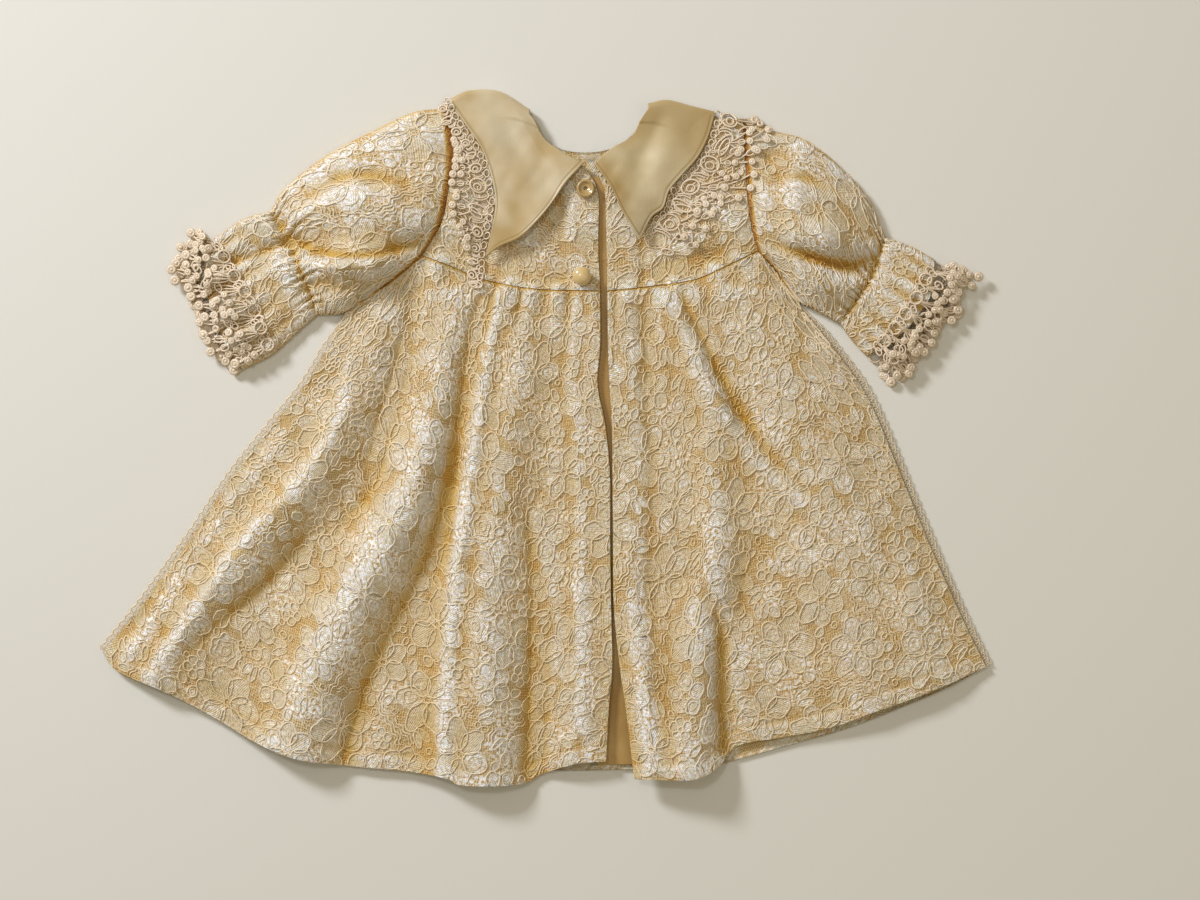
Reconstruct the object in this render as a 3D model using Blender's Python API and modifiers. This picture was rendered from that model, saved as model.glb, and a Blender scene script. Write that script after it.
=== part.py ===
# Baby dress laid flat, front side up: a buttoned front with a yoke and a gathered skirt, puffed
# sleeves with a frill below the elastic, a pointed satin collar and guipure lace along its edges.
# Lengths in the tables are millimetres; x runs to the right, y towards the collar, z up.

import math

import bmesh
import bpy
import numpy as np
from mathutils import Vector
from mathutils.bvhtree import BVHTree

MM = 0.001

# Cloth and seams
WALL = 1.2
SEAM = 0.3
LAYER = WALL + SEAM
BUTTON_ACROSS = 10.0

# The centre of the outline, taken off every point so that the origin is under the middle
MIDDLE_X = 0.6
MIDDLE_Y = 0.0

# Skirt, a row for each height: the side seams and the two front edges
SKIRT_ROWS = (
    # y, left_side, left_front, right_front, right_side
    (50.0, -116.0, 30.0, 34.3, 154.0),
    (28.0, -129.0, 28.6, 35.1, 170.5),
    (6.5, -146.5, 32.7, 36.4, 181.0),
    (-20.5, -168.0, 35.3, 36.7, 192.0),
    (-53.0, -190.0, 35.4, 37.0, 205.5),
    (-91.0, -217.5, 35.9, 37.4, 222.0),
    (-123.0, None, 36.5, 40.5, None),
    (-145.0, None, 34.8, 43.7, None),
)
LEFT_UNDERARM = (-107.2, 67.5)
RIGHT_UNDERARM = (136.4, 72.9)
LEFT_CORNER = (-238.0, -116.0)
RIGHT_CORNER = (238.0, -124.0)
LEFT_FRONT_HEM = (33.2, -174.5)
RIGHT_FRONT_HEM = (48.3, -183.6)

# Hems, a row for each place along them
HEM_ROWS = (
    # x, front, back
    (-230.0, -126.0, -123.5),
    (-205.0, -136.5, -134.0),
    (-177.9, -151.2, -148.5),
    (-156.3, -163.6, -159.5),
    (-132.0, -172.8, -169.0),
    (-105.0, -177.1, -174.0),
    (-78.0, -179.8, -176.8),
    (-53.0, -183.0, -178.6),
    (-44.0, -186.6, -179.0),
    (-13.2, -186.8, -179.6),
    (0.5, -180.9, -179.8),
    (18.0, -175.6, -179.9),
    (75.0, -183.6, -178.5),
    (84.5, -182.2, -178.2),
    (93.7, -177.1, -177.0),
    (104.5, -166.3, -173.8),
    (127.2, -162.0, -167.5),
    (154.2, -156.6, -160.0),
    (175.8, -148.5, -152.6),
    (194.7, -142.0, -145.0),
    (218.0, -132.8, -135.0),
)

# Seams of the yoke and the armholes
LEFT_YOKE_SEAM = ((-65.6, 97.7), (-48.3, 91.3), (-32.1, 84.8), (-4.6, 79.9), (30.0, 78.8))
RIGHT_YOKE_SEAM = ((34.0, 78.8), (54.8, 81.0), (80.2, 84.8), (98.0, 92.3), (114.8, 100.4))
BACK_YOKE_SEAM = ((-65.6, 97.7), (-20.0, 84.0), (25.0, 80.0), (70.0, 85.0), (114.8, 100.4))
LEFT_ARMHOLE = ((-51.6, 178.0), (-48.9, 150.1), (-51.6, 130.7), (-55.4, 114.5), (-65.6, 97.7))
LEFT_ARMHOLE_LOW = ((-65.6, 97.7), (-79.1, 86.4), (-93.7, 76.1), LEFT_UNDERARM)
RIGHT_ARMHOLE = ((106.7, 170.5), (107.7, 155.0), (108.8, 133.4), (111.0, 114.5), (114.8, 100.4))
RIGHT_ARMHOLE_LOW = ((114.8, 100.4), (122.9, 91.3), (129.9, 82.1), RIGHT_UNDERARM)

# Neckline: front edges from the shoulder to the middle, and the back from left to right
LEFT_NECK = ((-8.2, 172.0), (-6.2, 169.5), (-1.0, 158.9), (10.5, 150.8), (20.6, 146.0))
RIGHT_NECK = ((55.4, 174.0), (51.8, 169.5), (47.2, 160.0), (36.4, 153.6), (27.4, 145.6))
BACK_NECK = ((-8.2, 172.0), (-0.5, 161.5), (11.0, 154.6), (24.6, 153.4), (35.9, 155.5),
             (46.4, 162.0), (55.4, 174.0))
LEFT_YOKE_FRONT = ((20.6, 146.0), (25.1, 140.0), (27.8, 135.0), (29.5, 126.0), (29.0, 105.0),
                   (30.0, 78.8))
RIGHT_YOKE_FRONT = ((27.4, 145.6), (30.0, 139.0), (32.6, 131.0), (33.2, 117.0), (33.6, 98.0),
                    (34.0, 78.8))

# Folds, a row each: the crest's places, its half width at both ends, and its height at the
# start, the middle and the end. A minus height is a trough.
SKIRT_FOLDS = (
    # crest, width_start, width_end, height_start, height_middle, height_end
    (((-46, 72), (-54, 36), (-62, -2), (-72, -34), (-89, -66), (-108, -99), (-124, -137),
      (-136, -172)), 10, 21, 3.0, 12.0, 10.0),
    (((-86, 62), (-97, 31), (-121, -18), (-156, -61), (-186, -102), (-208, -132)),
     11, 15, 2.5, 8.5, 5.0),
    (((-132, 9), (-183, -50), (-205, -85), (-224, -118)), 5, 7, 0.8, 2.6, 2.2),
    (((-12, 76), (-16, 20), (-23, -18), (-27, -50), (-30, -99), (-32, -142), (-35, -186)),
     9, 20, 2.0, 6.5, 10.0),
    (((54, -88), (60, -131), (65, -184)), 20, 24, 0.6, 4.0, 7.0),
    (((79, 76), (87, 31), (92, -2), (92, -45), (90, -77), (84, -110), (84, -142), (81, -181)),
     8, 14, 1.6, 4.2, 8.0),
    (((103, 74), (122, 36), (136, 4), (151, -34), (160, -77), (172, -110), (181, -146)),
     14, 26, 2.2, 5.0, 3.6),
    (((186, -40), (196, -80), (206, -130)), 10, 16, 0.6, 2.6, 2.4),
)
# Short gathers that hang from the yoke seam and die out
GATHERS = (
    # x_seam, x_low, y_seam, y_low, width, height
    (-57.0, -64.0, 94.0, 62.0, 4.6, 1.7),
    (-32.0, -34.0, 84.0, 58.0, 4.6, 1.9),
    (-20.0, -22.0, 82.0, 48.0, 4.4, 1.6),
    (8.0, 6.0, 79.0, 42.0, 4.6, 1.8),
    (20.0, 20.0, 79.0, 50.0, 4.4, 1.5),
    (45.0, 46.0, 79.0, 52.0, 4.6, 1.7),
    (58.0, 64.0, 81.0, 40.0, 4.6, 1.9),
    (70.0, 76.0, 83.0, 52.0, 4.4, 1.5),
    (92.0, 104.0, 90.0, 60.0, 4.6, 1.7),
    (106.0, 118.0, 96.0, 68.0, 4.6, 1.6),
)
YOKE_FOLDS = (
    (((-51, 150), (-50, 128), (-58, 106)), 24, 22, 2.0, 4.2, 2.6),
    (((108, 152), (108, 128), (116, 102)), 24, 22, 2.0, 4.2, 2.6),
    (((-30, 118), (0, 100), (24, 96)), 12, 10, 0.6, 1.6, 0.8),
    (((62, 100), (80, 106), (98, 104)), 9, 9, 0.8, 1.8, 0.8),
)
SLEEVE_FOLDS = (
    (((-134, 119), (-105, 128), (-73, 114)), 8, 12, 1.5, 4.5, 2.0),
    (((-132, 110), (-112, 104), (-84, 106)), 7, 8, -2.5, -4.0, -1.5),
    (((-134, 88), (-118, 94), (-86, 94)), 8, 9, 1.5, 4.0, 1.5),
    (((-112, 150), (-90, 155), (-66, 150)), 10, 12, 0.8, 2.4, 1.0),
    (((136, 98), (160, 92), (180, 88)), 5, 6, -2.0, -4.5, -2.0),
    (((134, 112), (158, 106), (178, 102)), 9, 9, 1.0, 3.6, 1.5),
    (((118, 134), (134, 130), (150, 136)), 10, 10, 1.0, 3.4, 1.0),
    (((108, 151), (118, 150), (128, 149)), 5, 5, -1.2, -2.6, -1.2),
    (((142, 84), (156, 78), (168, 76)), 7, 7, 1.0, 2.6, 1.0),
)

# Sleeves: outlines from the armhole to the elastic, and from there to the open end
LEFT_SLEEVE = {
    "armhole": LEFT_ARMHOLE[:-1] + LEFT_ARMHOLE_LOW,
    "top": ((-51.9, 178.6), (-58.0, 176.8), (-71.0, 174.9), (-90.5, 165.8), (-116.4, 152.3),
            (-139.0, 135.0), (-147.7, 121.5)),
    "bottom": (LEFT_UNDERARM, (-113.0, 66.2), (-122.3, 66.0)),
    "elastic": ((-147.7, 121.5), (-138.0, 105.8), (-126.6, 78.3), (-122.3, 66.0)),
    "frill_top": ((-147.7, 121.5), (-162.0, 117.5), (-179.5, 106.0)),
    "frill_bottom": ((-122.3, 66.0), (-134.0, 56.0), (-147.0, 44.5), (-162.8, 36.5)),
    "end": ((-179.5, 106.0), (-182.8, 87.5), (-179.6, 71.3), (-172.5, 52.4), (-162.8, 36.5)),
}
RIGHT_SLEEVE = {
    "armhole": RIGHT_ARMHOLE[:-1] + RIGHT_ARMHOLE_LOW,
    "top": ((106.9, 171.6), (122.0, 165.5), (141.2, 159.8), (159.6, 145.3), (173.6, 129.6),
            (181.2, 112.9), (183.3, 107.5)),
    "bottom": (RIGHT_UNDERARM, (148.0, 67.5), (159.6, 61.0)),
    "elastic": ((183.3, 107.5), (176.3, 86.4), (169.3, 75.1), (159.6, 61.0)),
    "frill_top": ((183.3, 107.5), (197.0, 103.0), (210.0, 96.0)),
    "frill_bottom": ((159.6, 61.0), (166.0, 52.0), (173.6, 43.7)),
    "end": ((210.0, 96.0), (208.2, 78.3), (200.0, 64.3), (188.2, 52.4), (173.6, 43.7)),
}
# How far the sleeve's front stands off its back, from the armhole to the open end
SLEEVE_PUFF = (
    # along, height
    (0.00, 0.0),
    (0.12, 6.0),
    (0.32, 12.0),
    (0.55, 12.5),
    (0.80, 7.5),
    (1.00, 3.2),
    (1.12, 5.0),
    (2.00, 5.5),
)
FRILL_WAVES = 4
FRILL_WAVE = 1.3

# Collar: shoulder fold, edges of the front points and of the flaps behind
LEFT_COLLAR = {
    "fold": ((-7.8, 176.6), (-24.0, 186.3), (-40.2, 186.8), (-50.5, 182.5)),
    "neck": ((21.3, 147.4), (11.1, 152.3), (0.3, 160.4), (-5.1, 170.0), (-7.8, 173.7)),
    "front": ((21.3, 147.4), (11.1, 136.1), (3.5, 124.7), (-4.1, 115.6), (-13.2, 106.9),
              (-24.0, 102.1), (-31.6, 96.7)),
    "outer": ((-31.6, 96.7), (-28.4, 110.7), (-26.2, 125.3), (-28.4, 139.9), (-33.8, 155.0),
              (-42.4, 167.9), (-50.5, 179.6)),
    "back_neck": ((-7.8, 173.7), (-0.5, 160.5), (10.0, 153.4), (23.8, 152.2)),
    "back_outer": ((-50.5, 179.6), (-44.0, 150.0), (-22.0, 126.0), (23.8, 118.0)),
}
RIGHT_COLLAR = {
    "fold": ((55.9, 179.8), (66.1, 181.7), (79.1, 178.6), (91.5, 175.5)),
    "neck": ((26.7, 146.9), (35.9, 155.0), (46.7, 161.5), (51.8, 170.6), (55.9, 176.9)),
    "front": ((26.7, 146.9), (35.9, 133.9), (42.9, 119.3), (51.3, 105.6)),
    "outer": ((51.3, 105.6), (57.8, 118.0), (64.0, 123.1), (67.2, 132.3), (74.8, 141.5),
              (82.4, 150.1), (88.3, 161.5), (91.5, 172.6)),
    "back_neck": ((55.9, 176.9), (47.0, 161.5), (36.4, 154.4), (24.6, 152.2)),
    "back_outer": ((91.5, 172.6), (86.0, 146.0), (66.0, 124.0), (24.6, 118.0)),
}
COLLAR_FRONT_LIFT = 3.6
COLLAR_OUTER_LIFT = 1.2

# Guipure lace, a row for each section across it, from the sewn edge to the picots
LACE_SECTIONS = {
    "collar_lace_left": (
        # inner_x, inner_y, outer_x, outer_y
        (-52.6, 183.4, -58.9, 178.6),
        (-44.4, 168.9, -54.0, 166.0),
        (-35.6, 155.8, -46.5, 155.0),
        (-29.8, 140.4, -48.5, 141.5),
        (-27.6, 125.4, -51.0, 129.0),
        (-29.8, 110.8, -46.0, 114.0),
        (-33.0, 96.5, -41.5, 103.0),
        (-33.4, 88.0, -41.0, 91.0),
        (-34.0, 80.5, -40.0, 80.5),
    ),
    "collar_lace_right": (
        (93.6, 176.2, 112.0, 171.5),
        (90.2, 161.0, 122.0, 163.0),
        (83.9, 149.4, 111.5, 151.0),
        (76.4, 140.6, 113.0, 141.0),
        (68.9, 131.4, 108.0, 130.0),
        (65.6, 122.2, 92.0, 123.5),
        (59.6, 117.0, 87.5, 112.0),
        (56.2, 110.6, 84.0, 101.0),
        (53.0, 104.6, 78.0, 92.0),
    ),
    "cuff_lace_left": (
        (-175.0, 104.5, -189.0, 112.0),
        (-168.0, 94.0, -200.0, 98.0),
        (-163.0, 85.0, -201.5, 86.0),
        (-157.0, 77.0, -194.0, 74.0),
        (-152.0, 66.0, -191.0, 60.0),
        (-149.0, 57.0, -182.5, 48.0),
        (-145.0, 47.5, -170.5, 35.5),
    ),
    "cuff_lace_right": (
        (207.0, 92.0, 238.0, 87.0),
        (201.0, 83.0, 230.0, 75.5),
        (196.0, 73.0, 224.0, 63.5),
        (190.0, 65.0, 215.0, 52.5),
        (184.0, 57.0, 203.5, 38.0),
        (175.5, 47.5, 186.0, 21.0),
    ),
}
LACE_GAP = 5.0
LACE_BAR = 2.2
CROSS_BAR = 1.2
SCALLOP = 2.4
CUFF_DROP = 1.6
CUFF_LOW = 2.2

# How far round a place the cloth below is looked at, and how far above it a piece lies
COLLAR_REACH = 3.2
CUFF_REACH = 4.5
OVER_CLOTH = 0.6

# Half width of the flat strip that the front lies on, and of its slope down to the back
FACING_HALF = 12.0
FACING_FLAT = 15.0
FACING_SLOPE = 8.0

# Rows and columns of the panels
LEFT_SKIRT_GRID = (25, 35)
RIGHT_SKIRT_GRID = (23, 31)
YOKE_GRID = (10, 11)
BACK_YOKE_GRID = (12, 17)
BACK_SKIRT_ROWS = 9
SLEEVE_GRID = ((11, 6), 15)
SLEEVE_BACK_COLUMNS = 8
SLEEVE_ROW = 9.0
COLLAR_WALL = 1.0
COLLAR_TOP = 6.3
COLLAR_LOW = 3.2
COLLAR_LACE_LOW = 5.0

# Buttons: where they are sewn, and half of each outline as radius and height
BUTTON_STEPS = 20
PEARL_PLACE = (20.2, 86.4)
PEARL_MIDDLE = 3.4
PEARL_HALF = 3.2
RING_PLACE = (22.2, 133.5)
RING_OUTLINE = ((0.9, 0.0), (4.2, 0.0), (5.0, 1.0), (5.0, 2.2), (4.6, 3.0), (3.9, 3.2),
                (3.2, 2.8), (2.2, 2.0), (0.9, 1.8), (0.9, 0.0))

PALETTE = {
    # name: colour, roughness
    "lace_cloth": ((0.79, 0.66, 0.40, 1.0), 0.55),
    "satin": ((0.84, 0.76, 0.56, 1.0), 0.35),
    "lining_satin": ((0.62, 0.50, 0.27, 1.0), 0.40),
    "guipure": ((0.86, 0.73, 0.57, 1.0), 0.60),
    "pearl": ((0.90, 0.84, 0.68, 1.0), 0.15),
    "button_shell": ((0.66, 0.55, 0.36, 1.0), 0.25),
}


def remove_everything():
    """Start from an empty scene."""
    for item in list(bpy.data.objects):
        bpy.data.objects.remove(item, do_unlink=True)


def smooth(value):
    """Ease from 0 to 1 as the value goes from 0 to 1."""
    value = np.clip(value, 0.0, 1.0)
    return value * value * (3.0 - 2.0 * value)


def smooth_line(points, count):
    """Evenly spaced points on a rounded line through the given ones."""
    knots = np.array(points, dtype=float)
    padded = np.vstack([2 * knots[0] - knots[1], knots, 2 * knots[-1] - knots[-2]])
    t = np.linspace(0.0, 1.0, 12, endpoint=False)[:, None]
    spans = []
    for before, start, end, after in zip(padded, padded[1:], padded[2:], padded[3:]):
        spans.append(0.5 * (2 * start + (end - before) * t
                            + (2 * before - 5 * start + 4 * end - after) * t ** 2
                            + (3 * start - before - 3 * end + after) * t ** 3))
    fine = np.vstack(spans + [knots[-1:]])
    run = np.concatenate([[0.0], np.cumsum(np.linalg.norm(np.diff(fine, axis=0), axis=1))])
    places = np.linspace(0.0, run[-1], count)
    return np.column_stack([np.interp(places, run, fine[:, axis]) for axis in range(fine.shape[1])])


def corner_line(first, second, count):
    """Points along two rounded lines that meet at a corner, shared out by length."""
    lengths = [np.linalg.norm(np.diff(np.array(line), axis=0), axis=1).sum() for line in (first, second)]
    share = max(2, round((count - 1) * lengths[0] / sum(lengths)))
    return np.vstack([smooth_line(first, share + 1), smooth_line(second, count - share)[1:]])


def patch(top, bottom, left, right):
    """Plan points of a panel spread between its four edges."""
    across = np.linspace(0.0, 1.0, len(top))[None, :, None]
    down = np.linspace(0.0, 1.0, len(left))[:, None, None]
    between = (1 - down) * top[None] + down * bottom[None]
    between = between + (1 - across) * left[:, None] + across * right[:, None]
    corners = (1 - across) * (1 - down) * top[0] + across * (1 - down) * top[-1]
    corners = corners + (1 - across) * down * bottom[0] + across * down * bottom[-1]
    return between - corners


def skirt_edge(column, start, end):
    """One edge of the skirt, from its start above to its end at the hem."""
    middle = [(row[column], row[0]) for row in SKIRT_ROWS if row[column] is not None]
    return (start, *middle, end)


LEFT_SIDE = skirt_edge(1, LEFT_UNDERARM, LEFT_CORNER)
LEFT_FRONT = skirt_edge(2, LEFT_YOKE_SEAM[-1], LEFT_FRONT_HEM)
RIGHT_FRONT = skirt_edge(3, RIGHT_YOKE_SEAM[0], RIGHT_FRONT_HEM)
RIGHT_SIDE = skirt_edge(4, RIGHT_UNDERARM, RIGHT_CORNER)


def x_at(line, y):
    """Where a line that runs down the dress crosses a height."""
    points = smooth_line(line, 60)[::-1]
    return np.interp(y, points[:, 1], points[:, 0])


def front_middle(y):
    """The middle of the front opening at a height."""
    left = x_at(LEFT_YOKE_FRONT[:-1] + LEFT_FRONT, y)
    right = x_at(RIGHT_YOKE_FRONT[:-1] + RIGHT_FRONT, y)
    return 0.5 * (left + right)


def fold_height(x, y, folds):
    """Sum of the folds' rounded ridges and troughs at the given places."""
    total = np.zeros_like(x)
    for crest, width_start, width_end, *heights in folds:
        line = smooth_line(crest, 80)
        away = (x[..., None] - line[:, 0]) ** 2 + (y[..., None] - line[:, 1]) ** 2
        nearest = away.argmin(axis=-1) / (len(line) - 1)
        width = width_start + (width_end - width_start) * nearest
        height = np.interp(nearest, (0.0, 0.5, 1.0), heights)
        total += height * np.exp(-away.min(axis=-1) / width ** 2)
    return total


def gather_height(x, y):
    """The short gathers under the yoke seam."""
    total = np.zeros_like(x)
    for x_seam, x_low, y_seam, y_low, width, height in GATHERS:
        down = np.clip((y_seam - y) / (y_seam - y_low), -0.2, 1.0)
        centre = x_seam + (x_low - x_seam) * down
        fade = (1.0 - smooth(down)) * smooth((y_seam + 6.0 - y) / 6.0)
        total += height * fade * np.exp(-((x - centre) / width) ** 2)
    return total


def back_rise(x, y):
    """Height of the back's underside: it lies over the collar's back flaps."""
    return LAYER * smooth((y - 98.0) / 18.0)


def front_rise(x, y):
    """Height of the underside of the front cloth."""
    facing = (LAYER + SEAM) * (1.0 - smooth((np.abs(x - front_middle(y)) - FACING_FLAT) / FACING_SLOPE))
    side = smooth((x - x_at(LEFT_SIDE, y)) / 20.0) * smooth((x_at(RIGHT_SIDE, y) - x) / 20.0)
    skirt = 1.0 - smooth((y - 78.0) / 30.0)
    folds = side * skirt * fold_height(x, y, SKIRT_FOLDS) + side * gather_height(x, y)
    folds = folds + side * fold_height(x, y, YOKE_FOLDS)
    return back_rise(x, y) + LAYER + np.maximum(facing, folds + 0.4 * facing)


def slope_wall(plan, height, thickness=WALL):
    """Upright thickness that gives the cloth its thickness on a slope."""
    step = 0.5
    x, y = plan[..., 0], plan[..., 1]
    across = (height(x + step, y) - height(x - step, y)) / (2 * step)
    down = (height(x, y + step) - height(x, y - step)) / (2 * step)
    return thickness * np.sqrt(1.0 + across ** 2 + down ** 2)


def with_height(plan, z):
    """Plan points with a height each."""
    return np.concatenate([plan, np.broadcast_to(z, plan.shape[:-1])[..., None]], axis=-1)


def make_mesh(name, vertices, faces, material, collection):
    """An object from points in millimetres, its faces turned outwards."""
    moved = np.array(vertices, dtype=float) - np.array((MIDDLE_X, MIDDLE_Y, 0.0))
    mesh = bpy.data.meshes.new(name)
    mesh.from_pydata([tuple(point) for point in moved * MM], [], faces)
    form = bmesh.new()
    form.from_mesh(mesh)
    bmesh.ops.recalc_face_normals(form, faces=form.faces)
    form.to_mesh(mesh)
    form.free()
    mesh.materials.append(material)
    item = bpy.data.objects.new(name, mesh)
    collection.objects.link(item)
    return item


def cloth_wall(name, outer, inner, material, collection, around=False):
    """A closed wall between two grids of points; around joins the last column to the first."""
    rows, columns = outer.shape[:2]
    count = rows * columns
    vertices = np.vstack([outer.reshape(-1, 3), inner.reshape(-1, 3)])
    faces = []

    def index(row, column, side):
        return side * count + row * columns + column % columns

    last = columns if around else columns - 1
    for row in range(rows - 1):
        for column in range(last):
            ring = [(row, column), (row, column + 1), (row + 1, column + 1), (row + 1, column)]
            faces.append([index(*corner, 0) for corner in ring])
            faces.append([index(*corner, 1) for corner in reversed(ring)])
    for row in (0, rows - 1):
        for column in range(last):
            faces.append([index(row, column, 0), index(row, column, 1),
                          index(row, column + 1, 1), index(row, column + 1, 0)])
    if not around:
        for column in (0, columns - 1):
            for row in range(rows - 1):
                faces.append([index(row, column, 0), index(row + 1, column, 0),
                              index(row + 1, column, 1), index(row, column, 1)])
    return make_mesh(name, vertices, faces, material, collection)


def panel(name, plan, height, material, collection):
    """A panel's wall over its plan, standing on a height function."""
    low = height(plan[..., 0], plan[..., 1])
    high = low + slope_wall(plan, height)
    return cloth_wall(name, with_height(plan, high), with_height(plan, low), material, collection)


def skirt_plan(top, side, front, column, corner, rows, columns):
    """Plan of one half of the skirt, between its seam above and its hem."""
    hem = [(row[0], row[column]) for row in HEM_ROWS]
    if side[0][0] < 0:
        hem = [place for place in hem if place[0] < front[-1][0]]
        bottom = smooth_line([corner, *hem, front[-1]], columns)
        return patch(top, bottom, smooth_line(side, rows), smooth_line(front, rows))
    hem = [place for place in hem if place[0] > front[-1][0]]
    bottom = smooth_line([front[-1], *hem, corner], columns)
    return patch(top, bottom, smooth_line(front, rows), smooth_line(side, rows))


def front_skirts(material, collection):
    """The two gathered halves of the front skirt."""
    rows, columns = LEFT_SKIRT_GRID
    top = corner_line(LEFT_ARMHOLE_LOW[::-1], LEFT_YOKE_SEAM, columns)
    plan = skirt_plan(top, LEFT_SIDE, LEFT_FRONT, 1, LEFT_CORNER, rows, columns)
    plan[0] -= (0.0, SEAM)
    panel("front_skirt_left", plan, front_rise, material, collection)
    rows, columns = RIGHT_SKIRT_GRID
    top = corner_line(RIGHT_YOKE_SEAM, RIGHT_ARMHOLE_LOW, columns)
    plan = skirt_plan(top, RIGHT_SIDE, RIGHT_FRONT, 1, RIGHT_CORNER, rows, columns)
    plan[0] -= (0.0, SEAM)
    panel("front_skirt_right", plan, front_rise, material, collection)


def front_yokes(material, collection):
    """The two halves of the front yoke."""
    rows, columns = YOKE_GRID
    shoulder = (LEFT_ARMHOLE[0], LEFT_NECK[0])
    top = corner_line(shoulder, LEFT_NECK, columns)
    plan = patch(top, smooth_line(LEFT_YOKE_SEAM, columns),
                 smooth_line(LEFT_ARMHOLE, rows), smooth_line(LEFT_YOKE_FRONT, rows))
    plan[-1] += (0.0, SEAM)
    panel("front_yoke_left", plan, front_rise, material, collection)
    shoulder = (RIGHT_NECK[0], RIGHT_ARMHOLE[0])
    top = corner_line(RIGHT_NECK[::-1], shoulder, columns)
    plan = patch(top, smooth_line(RIGHT_YOKE_SEAM, columns),
                 smooth_line(RIGHT_YOKE_FRONT, rows), smooth_line(RIGHT_ARMHOLE, rows))
    plan[-1] += (0.0, SEAM)
    panel("front_yoke_right", plan, front_rise, material, collection)


def back_panels(material, collection):
    """The back yoke and the back skirt, which the dress lies on."""
    rows, columns = BACK_YOKE_GRID
    seam = smooth_line(BACK_YOKE_SEAM, columns)
    shoulder_left = smooth_line((LEFT_ARMHOLE[0], LEFT_NECK[0]), 4)
    shoulder_right = smooth_line((RIGHT_NECK[0], RIGHT_ARMHOLE[0]), 4)
    top = np.vstack([shoulder_left, smooth_line(BACK_NECK, columns - 6)[1:-1], shoulder_right])
    plan = patch(top, seam, smooth_line(LEFT_ARMHOLE, rows), smooth_line(RIGHT_ARMHOLE, rows))
    plan[-1] += (0.0, SEAM)
    panel("back_yoke", plan, back_rise, material, collection)
    rows = BACK_SKIRT_ROWS
    top = np.vstack([smooth_line(LEFT_ARMHOLE_LOW[::-1], 7)[:-1], seam,
                     smooth_line(RIGHT_ARMHOLE_LOW, 5)[1:]])
    hem = [(row[0], row[2]) for row in HEM_ROWS]
    bottom = smooth_line([LEFT_CORNER, *hem, RIGHT_CORNER], len(top))
    plan = patch(top, bottom, smooth_line(LEFT_SIDE, rows), smooth_line(RIGHT_SIDE, rows))
    plan[0] -= (0.0, SEAM)
    panel("back_skirt", plan, lambda x, y: np.zeros_like(x), material, collection)


def front_facing(material, collection):
    """The satin strip under the front opening."""
    heights = np.concatenate([np.linspace(140.0, 84.0, 10), np.linspace(70.0, -176.5, 24)])
    middle = front_middle(heights)
    plan = np.stack([np.column_stack([middle + side * FACING_HALF, heights])
                     for side in (-1.0, -0.5, 0.0, 0.5, 1.0)], axis=1)

    def under(x, y):
        return back_rise(x, y) + LAYER

    panel("front_facing", plan, under, material, collection)


def sleeve_plan(sleeve, rows, columns):
    """Plan of a flattened sleeve: from the armhole to the elastic, then the frill."""
    puff_rows, frill_rows = rows
    puff = patch(smooth_line(sleeve["armhole"], columns), smooth_line(sleeve["elastic"], columns),
                 smooth_line(sleeve["top"], puff_rows), smooth_line(sleeve["bottom"], puff_rows))
    frill = patch(smooth_line(sleeve["elastic"], columns), smooth_line(sleeve["end"], columns),
                  smooth_line(sleeve["frill_top"], frill_rows),
                  smooth_line(sleeve["frill_bottom"], frill_rows))
    along = np.concatenate([np.linspace(0.0, 1.0, puff_rows), np.linspace(1.0, 2.0, frill_rows)[1:]])
    return np.concatenate([puff, frill[1:]]), along


def sleeve_rise(plan, along, down):
    """Height of the underside of a sleeve's front."""
    x, y = plan[..., 0], plan[..., 1]
    arch = np.sin(math.pi * down) ** 0.6
    puff = np.interp(along, *zip(*SLEEVE_PUFF))
    near_seam = 1.0 - smooth(along / 0.35)
    seam = (front_rise(x, y) - LAYER) * smooth(down / 0.12) * smooth((1.0 - down) / 0.12)
    waves = FRILL_WAVE * smooth(along - 1.0) * np.sin(2 * math.pi * FRILL_WAVES * down)
    folds = fold_height(x, y, SLEEVE_FOLDS) * smooth(along / 0.25)
    return LAYER + near_seam * seam + np.maximum(arch * (puff + folds + waves), 0.0)


def make_sleeve(name, sleeve, toward_seam, material, collection):
    """One sleeve: a flattened tube, puffed in front and flat behind."""
    rows, columns = SLEEVE_GRID
    plan, along = sleeve_plan(sleeve, rows, columns)
    plan = plan + np.array((toward_seam * SEAM, 0.0)) * (1.0 - smooth(along / 0.1))[:, None, None]
    down = np.linspace(0.0, 1.0, columns)
    width = np.linalg.norm(plan[:, -1] - plan[:, 0], axis=1)
    tuck = LAYER / width
    span = along[:, None] + np.zeros(columns)
    low = sleeve_rise(plan, span, np.broadcast_to(down, span.shape))
    run = np.gradient(low, axis=1) / (width[:, None] / (columns - 1))
    fall = np.gradient(low, axis=0) / SLEEVE_ROW
    high = low + WALL * np.sqrt(1.0 + run ** 2 + fall ** 2)

    def inside(values):
        places = tuck[:, None] + (1.0 - 2.0 * tuck[:, None]) * down
        return np.stack([np.stack([np.interp(place, down, values[row, :, axis]) for place in places[row]])
                         for row in range(len(along)) for axis in range(3)]
                        ).reshape(len(along), 3, columns).transpose(0, 2, 1)

    outer_top = with_height(plan, high)
    outer_top[:, (0, -1), 2] = LAYER + 0.7 * WALL
    inner_top = inside(with_height(plan, low))
    back = plan[:, ::-1]
    flat = np.linspace(0, columns - 1, SLEEVE_BACK_COLUMNS).round().astype(int)
    outer_back = with_height(back, 0.0)[:, flat]
    inner_back = inside(with_height(plan, WALL))[:, ::-1][:, flat]
    outer = np.concatenate([outer_top, outer_back], axis=1)
    inner = np.concatenate([inner_top, inner_back], axis=1)
    return cloth_wall(name, outer, inner, material, collection, around=True)


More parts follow.
